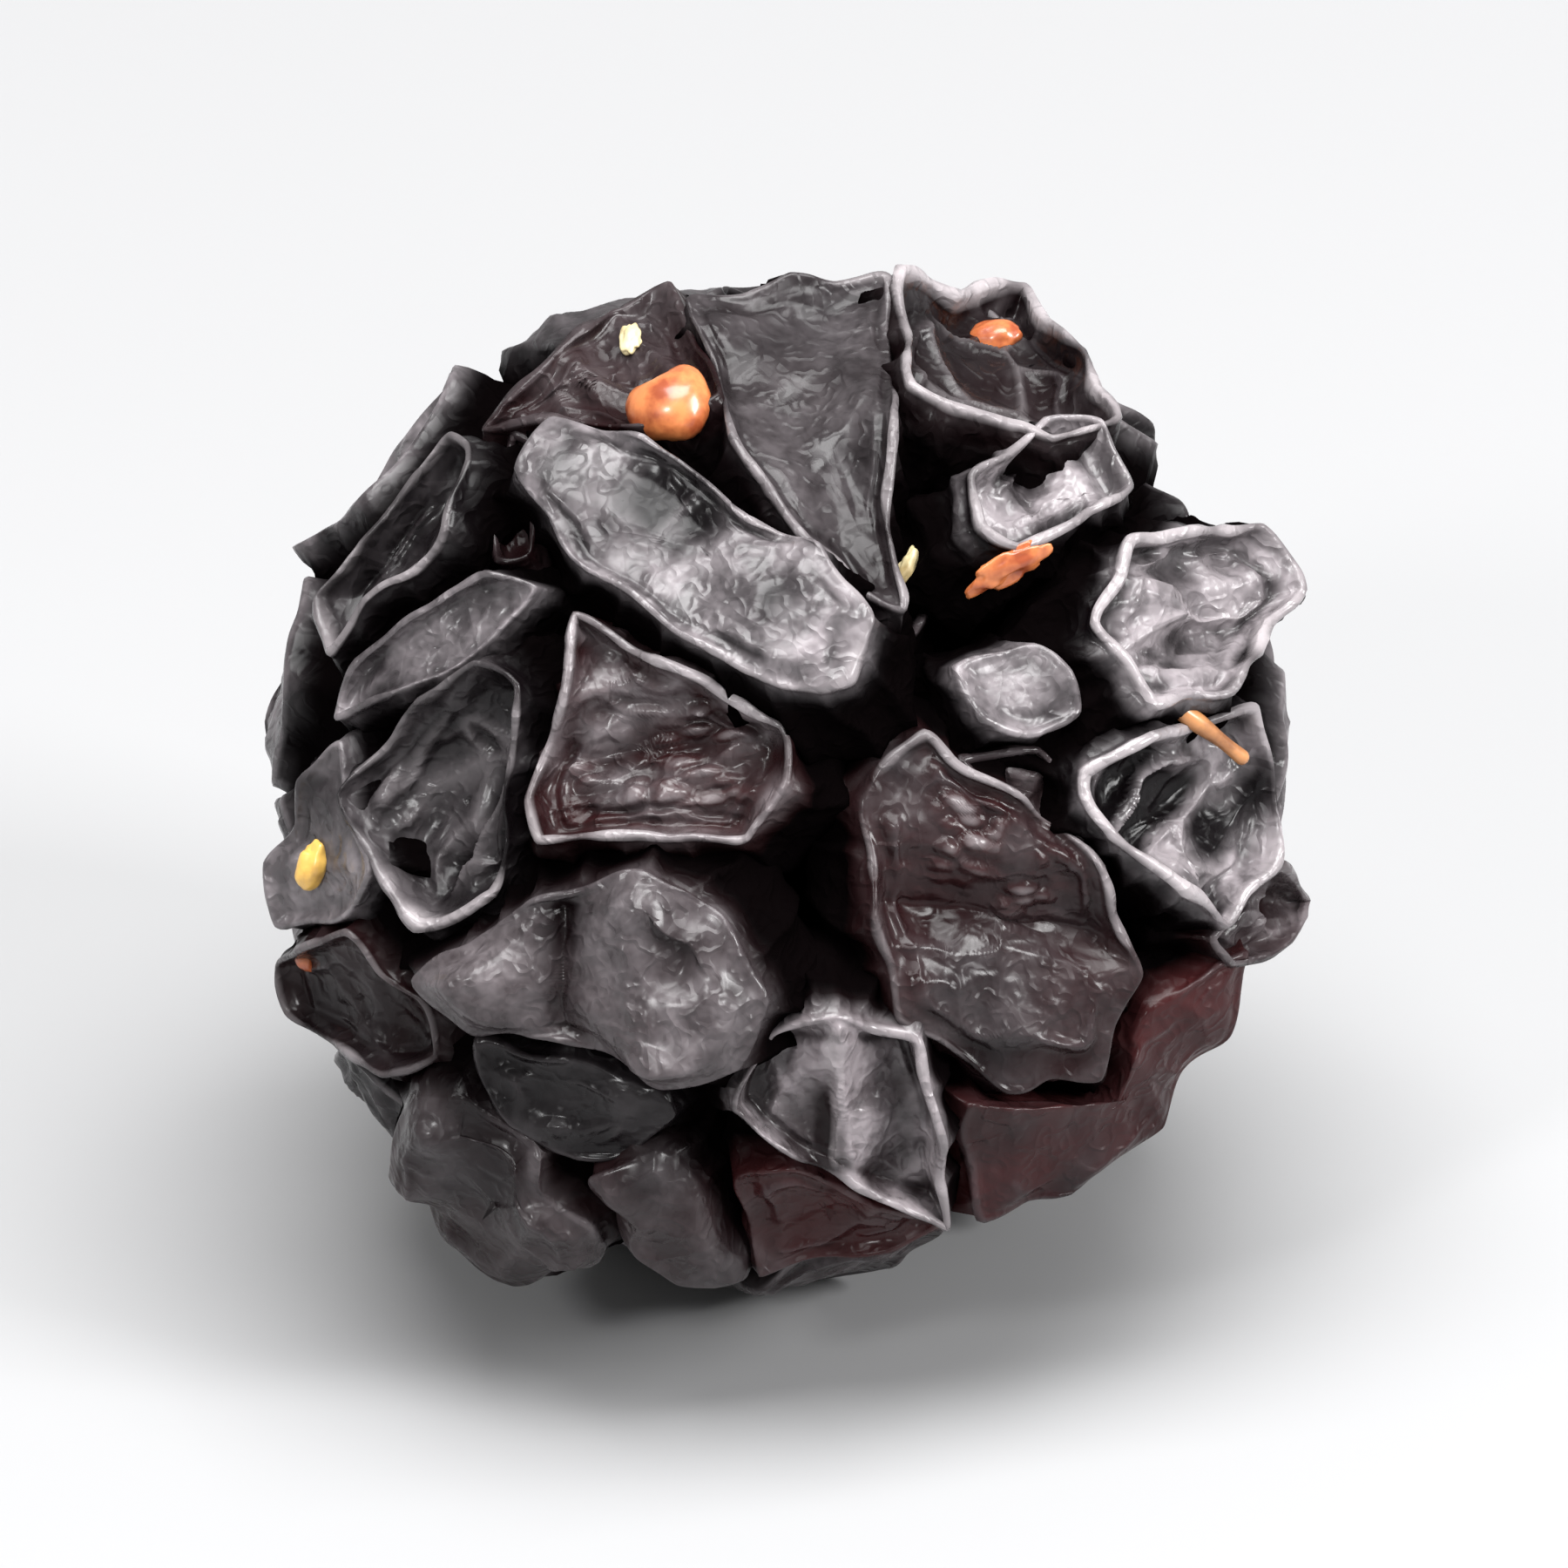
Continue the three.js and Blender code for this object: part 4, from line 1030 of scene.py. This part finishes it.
# grey bloom, with the painted sheen and painted shade that the grey value carries
bloom_and_sheen = math_node(tree, "MULTIPLY", fit(tree, blotches, (0.38, 0.62), (0.35, 1.0)), grey_value)
stain = math_node(tree, "MULTIPLY", fit(tree, patches, (0.34, 0.60), (0.2, 1.0)), red_value)
colour = mix_colour(tree, bloom_and_sheen, DRY_BLACK, GREY_BLOOM_AND_SHEEN)
colour = mix_colour(tree, stain, colour, JUICE_RED)
# painted sheen: ridges are lightened toward grey
colour = mix_colour(tree, fit(tree, rim_value, (0.5, 1.0), (0.0, 0.35)), colour, PAINTED_RIDGE_SHEEN)
# painted shade: gaps, the lower walls and the receptacle are painted near black
colour = mix_colour(tree, fit(tree, deep_value, (0.0, 0.6), (0.0, 1.0)), colour, PAINTED_GAP_SHADE)
# painted highlight: beads, fold crests, field ridges and grain tops are painted silver
colour = mix_colour(tree, fit(tree, painted_highlight_fac, (0.25, 1.25), (0.0, 1.0)), colour, PAINTED_EDGE_HIGHLIGHT)
tree.links.new(colour, shader.inputs["Base Color"])
print("nodes for the skin's colour:", len(tree.nodes))

# %% [markdown]
# ## How the skin shines
# Dried juice leaves a thin gloss on rims and tops, so they get a coat. A gap gets none, and its index of
# refraction sinks toward that of air: otherwise its walls, seen at a grazing angle, would turn milky. The
# finest creases are left to bump, since as mesh they would need millions of faces.

# %% Gloss and fine creases of the skin
COAT_ROUGHNESS = 0.17
BUMP_STRENGTH, BUMP_DISTANCE = 0.42, 0.00005
LONG_CREASES_PER_M, SHORT_CREASES_PER_M, LONG_CREASE_SHARE = 1000, 2600, 1.5

dull = fit(tree, blotches, (0.35, 0.7), (0.24, 0.44))
dull = math_node(tree, "SUBTRACT", dull, fit(tree, rim_value, (0.3, 1.0), (0.0, 0.06)))
dull = math_node(tree, "ADD", dull, fit(tree, deep_value, (0.0, 0.8), (0.0, 0.35)))
tree.links.new(dull, shader.inputs["Roughness"])
over_air = fit(tree, grey_value, (0.0, 0.7), (0.18, 0.42))
over_air = math_node(tree, "ADD", over_air, fit(tree, painted_highlight_fac, (0.2, 0.9), (0.0, 0.1)))
over_air = math_node(tree, "MULTIPLY", over_air, fit(tree, deep_value, (0.0, 0.7), (1.0, 0.12)))
tree.links.new(math_node(tree, "ADD", over_air, 1.0), shader.inputs["IOR"])
tree.links.new(fit(tree, deep_value, (0.0, 0.3), (0.20, 0.0)), shader.inputs["Coat Weight"])
shader.inputs["Coat Roughness"].default_value = COAT_ROUGHNESS
bump = tree.nodes.new("ShaderNodeBump")
bump.inputs["Strength"].default_value = BUMP_STRENGTH
bump.inputs["Distance"].default_value = BUMP_DISTANCE
long_creases = math_node(tree, "MULTIPLY", fine_creases(tree, LONG_CREASES_PER_M), LONG_CREASE_SHARE)
lines = math_node(tree, "ADD", fine_creases(tree, SHORT_CREASES_PER_M), long_creases)
tree.links.new(lines, bump.inputs["Height"])
tree.links.new(bump.outputs["Normal"], shader.inputs["Normal"])
print("nodes of the whole skin:", len(tree.nodes))

# %% [markdown]
# ## Growing them all
# Each drupelet stays a piece of its own, so that it can be found by its name. For those in the rows toward
# the tip, chance picks how red, grey and crumpled each is.

# %% Grow the drupelets
ROW_SEED = 7
ROW_REDS = [0, 0, 0, 0.1, 0.2, 0.6]
ROW_GREYS, ROW_CRUMPLES = (0.1, 0.9), (0.3, 0.8)

chance = random.Random(ROW_SEED)
triangles = 0
for plan in plans:
    if not plan["seen"]:
        plan["red"] = chance.choice(ROW_REDS)
        plan["grey"] = chance.uniform(*ROW_GREYS)
        plan["crumple"] = chance.uniform(*ROW_CRUMPLES)
    grown = grow_skin(plan)
    values = material_values(grown, plan)
    laid = lay(grown.grid.reshape(-1, 3))
    laid[:, 2] = np.maximum(laid[:, 2], LOW_POINT_DROP)
    piece = closed_mesh("drupelet_" + plan["name"], laid.reshape(grown.grid.shape), values)
    finish_piece(piece, berry_skin)
    triangles += sum(len(face.vertices) - 2 for face in piece.data.polygons)
print("triangles of the drupelets:", triangles)

# %% [markdown]
# ## The receptacle
# Between the drupelets one looks down on the dry receptacle that carries them. It lies in shade, so it is
# painted all over in the black of the painted gap shade. Hardly any of it shows, so a ball squeezed into an
# egg is enough. The hollow where the stalk came away is pressed into it.

# %% Receptacle
CORE_RADIUS, CORE_BASE_LENGTH, CORE_TIP_LENGTH = 5.9, 4.6, 7.2
HOLLOW_PLACE, HOLLOW_RADIUS, HOLLOW_DEPTH = (1.0, 0.2), 1.5, 3.0
CORE_UNEVEN, CORE_LUMPS = 0.03, 0.8
CORE_LOWEST = 0.02
# deep 1 paints the whole receptacle with the black painted gap shade
CORE_VALUES = {"rim": 0.0, "edge": 0.0, "deep": 1.0, "red": 0.2, "grey": 0.3}

core, points = ball_points("receptacle", 5)
lengths = np.where(points[:, 2] > 0, CORE_BASE_LENGTH, CORE_TIP_LENGTH)
widths = np.full(len(points), CORE_RADIUS)
points = points * np.stack([widths, widths, lengths], axis=1)
beside = np.hypot(points[:, 0] - HOLLOW_PLACE[0], points[:, 1] - HOLLOW_PLACE[1])
hollow = np.exp(-((beside / HOLLOW_RADIUS) ** 4)) * (points[:, 2] > 0)
points[:, 2] -= hollow * HOLLOW_DEPTH
points = points * (1 + CORE_UNEVEN * smooth_noise(points, CORE_LUMPS, 51))[:, None]
laid = lay(points)
laid[:, 2] = np.maximum(laid[:, 2], CORE_LOWEST)
core.data.vertices.foreach_set("co", (laid * MM).reshape(-1))
for label, number in CORE_VALUES.items():
    made = core.data.attributes.new(label, "FLOAT", "POINT")
    made.data.foreach_set("value", np.full(len(points), number, np.float32))
shade_smooth(core.data)
finish_piece(core, berry_skin)
print("depth of the hollow in mm:", round(float(hollow.max() * HOLLOW_DEPTH), 2))

# %% [markdown]
# ## Pips and dried bits
# Here and there a pip or a scrap of dried style shows, orange against the black. A bramble's pip is a
# flattened, pitted egg. It is made from a ball, pitted with the same cell noise as the skin, and set down
# on the skin by feeling for it with a ray along the berry's own axis. Then it can't float or sink from
# sight.

# %% Colours of the pips and styles
MOTTLES_PER_M = 1800
WARM_COAT, WARM_COAT_ROUGHNESS = 0.3, 0.15


def warm_material(name, light, dark, roughness):
    material, tree, shader = new_material(name)
    mottle = fit(tree, noise(tree, MOTTLES_PER_M, 4.0), (0.38, 0.62), (0.0, 1.0))
    tree.links.new(mix_colour(tree, mottle, dark, light), shader.inputs["Base Color"])
    shader.inputs["Roughness"].default_value = roughness
    shader.inputs["Coat Weight"].default_value = WARM_COAT
    shader.inputs["Coat Roughness"].default_value = WARM_COAT_ROUGHNESS
    return material


orange = warm_material("dried_orange", (0.62, 0.20, 0.065), (0.27, 0.055, 0.018), 0.30)
amber = warm_material("pip_amber", (0.74, 0.45, 0.10), (0.36, 0.17, 0.035), 0.33)
cream = warm_material("scrap_cream", (0.72, 0.62, 0.36), (0.40, 0.30, 0.14), 0.40)
straw = warm_material("style_brown", (0.46, 0.20, 0.07), (0.20, 0.075, 0.025), 0.42)
print("warm colours:", ", ".join(material.name for material in (orange, amber, cream, straw)))

# %% Shape of a pip and where it lies
FEEL_FROM = 14.0
PIT_SPACING = 0.28
BLUNT_END = 0.2
NOTCH_PLACE, NOTCH_RADIUS = (-0.35, 0.93), 0.42
PIP_RISE = 0.12


def touch(x, y):
    """Where a line along the berry's axis meets the skin, and how the skin faces there, in mm."""
    bpy.context.view_layer.update()
    start = Vector(lay(np.array([x, y, FEEL_FROM])) * MM)
    hit, place, facing, _, _, _ = bpy.context.scene.ray_cast(
        bpy.context.evaluated_depsgraph_get(), start, Vector(LEAN @ np.array([0, 0, -1.0])))
    if not hit:
        raise ValueError(f"nothing under {x}, {y}")
    return np.array(place) / MM, np.array(facing)


def pip(name, x, y, size, turn, material, rise=0.0, pits=0.06, ragged=0.16, notch=0.0):
    """A pitted, flattened egg lying on the skin, its long side turned by some degrees.

    The notch, as a share of its size, makes a kidney of it.
    """
    place, facing = touch(x, y)
    across = np.cross(facing, LEAN @ np.array([0, 1.0, 0]))
    across /= np.linalg.norm(across)
    up = np.cross(facing, across) * -1
    cos_turn, sin_turn = math.cos(math.radians(turn)), math.sin(math.radians(turn))
    long_way, short_way = -across * cos_turn + up * sin_turn, across * sin_turn + up * cos_turn
    piece, ball = ball_points(name, 4)
    nearest, _, _ = cell_noise(ball * np.array(size) + x, PIT_SPACING, 71)
    lumpy = 1 + ragged * smooth_noise(ball * 1.2 + x, 1.0 - ragged, 72)
    lumpy = lumpy - BLUNT_END * (ball[:, 0] > 0) * ball[:, 0] ** 2
    to_notch = np.hypot(ball[:, 0] - NOTCH_PLACE[0], ball[:, 1] - NOTCH_PLACE[1])
    lumpy = lumpy - notch * np.exp(-(to_notch / NOTCH_RADIUS) ** 2)
    ball = ball * lumpy[:, None] * (1 - pits * (1 - nearest) / np.mean(size))[:, None]
    half = ball * np.array(size) / 2
    spot = place + facing * (rise + PIP_RISE * size[2])
    points = spot + half[:, :1] * long_way + half[:, 1:2] * short_way + half[:, 2:] * facing
    piece.data.vertices.foreach_set("co", (points * MM).reshape(-1))
    shade_smooth(piece.data)
    finish_piece(piece, material)
    return piece


print("the skin over the middle of the base end, in mm:", touch(0, 0)[0].round(2))

# %% Pips and scraps of the base end
bits = [
    pip("pip_large", -1.5, 5.65, (1.5, 1.3, 0.95), 15, orange, rise=0.12, ragged=0.07, notch=0.36),
    pip("bit_above_pip", -2.2, 6.75, (0.65, 0.35, 0.25), 110, cream, ragged=0.3),
    pip("pip_in_hook", 3.25, 6.8, (0.95, 0.55, 0.42), 12, orange, ragged=0.12),
    pip("flake_right", 3.4, 3.4, (1.3, 0.45, 0.26), 35, orange, rise=0.05, pits=0.02, ragged=0.45),
    pip("pip_left", -6.9, -1.05, (0.85, 0.5, 0.4), 65, amber, ragged=0.25),
    pip("pip_low_left", -7.05, -2.5, (0.5, 0.28, 0.26), 80, orange),
    pip("bit_in_recess", 1.9, 3.3, (0.75, 0.32, 0.26), 85, cream, ragged=0.35),
]
print("pips and scraps set on the skin:", len(bits))

# %% [markdown]
# ## The dried style
# Fresh drupelets carry a hair-like style each. Most break off as the berry dries, and one is left, lying
# from one rim to the next. It is a tube along a smooth path, which a curve object with a bevel could be
# too. A grid keeps the ends closed and lets the thickness vary.

# %% Style
STYLE_RINGS, STYLE_SIDES = 28, 10
STYLE_TAPER = 0.25
END_SLOPE, FOOT_SHARE, TIP_SHARE = 10, 0.3, 0.4
KNOBBLE, KNOBBLE_TURNS, KNOBBLE_START = 0.12, 9, 11
STYLE_SIDEWAYS = [0.3, 0.2, 0.93]
STYLE_THICKNESS = 0.3
MIDDLE_DROOP = [0, -0.05, 0.05]


def thread(name, path, thick, material):
    """A dried style: a thin tube along a smooth path, thicker at its foot, closed at both ends."""
    path = np.array(path, float)
    knots = np.linspace(0, 1, len(path))
    line = curve_weights(knots, np.linspace(0, 1, STYLE_RINGS)) @ path
    ahead = np.gradient(line, axis=0)
    ahead /= np.linalg.norm(ahead, axis=1, keepdims=True)
    side = np.cross(ahead, STYLE_SIDEWAYS)
    side /= np.linalg.norm(side, axis=1, keepdims=True)
    above = np.cross(side, ahead)
    rings = []
    for i, place in enumerate(line):
        share = i / (len(line) - 1)
        rounded = min(1.0, END_SLOPE * share + FOOT_SHARE, END_SLOPE * (1 - share) + TIP_SHARE)
        radius = thick / 2 * (1 - STYLE_TAPER * share) * rounded
        radius = radius * (1 + KNOBBLE * math.sin(KNOBBLE_TURNS * share + KNOBBLE_START))
        turns = np.linspace(0, 2 * math.pi, STYLE_SIDES, endpoint=False)[:, None]
        rings.append(place + radius * (np.cos(turns) * side[i] + np.sin(turns) * above[i]))
    grid = np.array(rings)
    grid[0] = grid[0].mean(axis=0)
    grid[-1] = grid[-1].mean(axis=0)
    piece = closed_mesh(name, grid, {})
    finish_piece(piece, material)
    return piece


def over_base_end(x, y, above):
    return lay(np.array([x, y, face_height(x, y) + above]))


foot, tip = over_base_end(5.75, 1.35, 0.1), over_base_end(6.95, 0.45, 0.35)
thread("style_right", [foot, foot * 0.5 + tip * 0.5 + MIDDLE_DROOP, tip], STYLE_THICKNESS, straw)
print("length of the style in mm:", round(float(np.linalg.norm(tip - foot)), 2))

# %% [markdown]
# ## Where it lies and how we see it
# A berry this dark shows its form by reflections alone, so the lights are large and soft: one overhead, a
# small one in front for the sparkle on the rims, and one to the right. The floor is pale matt paper, wide
# enough that its edge never shows.

# %% Floor
FLOOR_SIZE = 4
FLOOR_GREY, FLOOR_ROUGHNESS = (0.33, 0.33, 0.335), 0.7

bpy.ops.mesh.primitive_plane_add(size=FLOOR_SIZE, location=(0, 0, 0))
floor = bpy.context.object
floor.name = "floor"
floor_material, tree, shader = new_material("floor_paper")
shader.inputs["Base Color"].default_value = (*FLOOR_GREY, 1)
shader.inputs["Roughness"].default_value = FLOOR_ROUGHNESS
floor.data.materials.append(floor_material)
print("floor:", FLOOR_SIZE, "m across")

# %% Light
WORLD_STRENGTH = 0.42
LIGHT_AIM = (0, 0, 0.007)
# name, place in m, size in m, power in W
LIGHTS = [
    ("overhead", (0.01, -0.05, 0.30), (0.27, 0.20), 2.15),
    ("front_left", (-0.16, -0.26, 0.20), (0.045, 0.045), 0.42),
    ("right", (0.25, -0.12, 0.16), (0.09, 0.09), 0.95),
]


def soft_light(name, place, size, power):
    data = bpy.data.lights.new(name, "AREA")
    data.shape = "RECTANGLE"
    data.size, data.size_y = size
    data.energy = power
    light = bpy.data.objects.new(name, data)
    light.location = place
    light.rotation_euler = (Vector(LIGHT_AIM) - Vector(place)).to_track_quat("-Z", "Y").to_euler()
    bpy.context.scene.collection.objects.link(light)


world = bpy.data.worlds.new("studio")
world.use_nodes = True
world.node_tree.nodes["Background"].inputs["Color"].default_value = (1.0, 1.0, 1.0, 1)
world.node_tree.nodes["Background"].inputs["Strength"].default_value = WORLD_STRENGTH
bpy.context.scene.world = world
bpy.context.scene.view_settings.view_transform = "Standard"
for light in LIGHTS:
    soft_light(*light)
print("lights, in W:", {name: power for name, _, _, power in LIGHTS})

# %% [markdown]
# ## The camera
# A short lens would swell the near drupelets, so a long one stands well back, at the height of the
# photograph. Its focal length follows from how much of the scene should fill the frame.

# %% Camera
LOOK_AT = np.array([0.0, 0.0, 0.0075])
CAMERA_DISTANCE = 0.45
CAMERA_ELEVATION = math.radians(27)
SENSOR_WIDTH = 36
FRAME_WIDTH = 0.0235

camera_data = bpy.data.cameras.new("camera")
camera = bpy.data.objects.new("camera", camera_data)
bpy.context.scene.collection.objects.link(camera)
from_aim = np.array([0, -math.cos(CAMERA_ELEVATION), math.sin(CAMERA_ELEVATION)])
camera.location = LOOK_AT + CAMERA_DISTANCE * from_aim
camera.rotation_euler = (Vector(LOOK_AT) - camera.location).to_track_quat("-Z", "Y").to_euler()
camera_data.sensor_width = SENSOR_WIDTH
camera_data.lens = SENSOR_WIDTH * CAMERA_DISTANCE / FRAME_WIDTH
camera_data.clip_start = 0.01
bpy.context.scene.camera = camera
print("focal length in mm:", round(camera_data.lens))
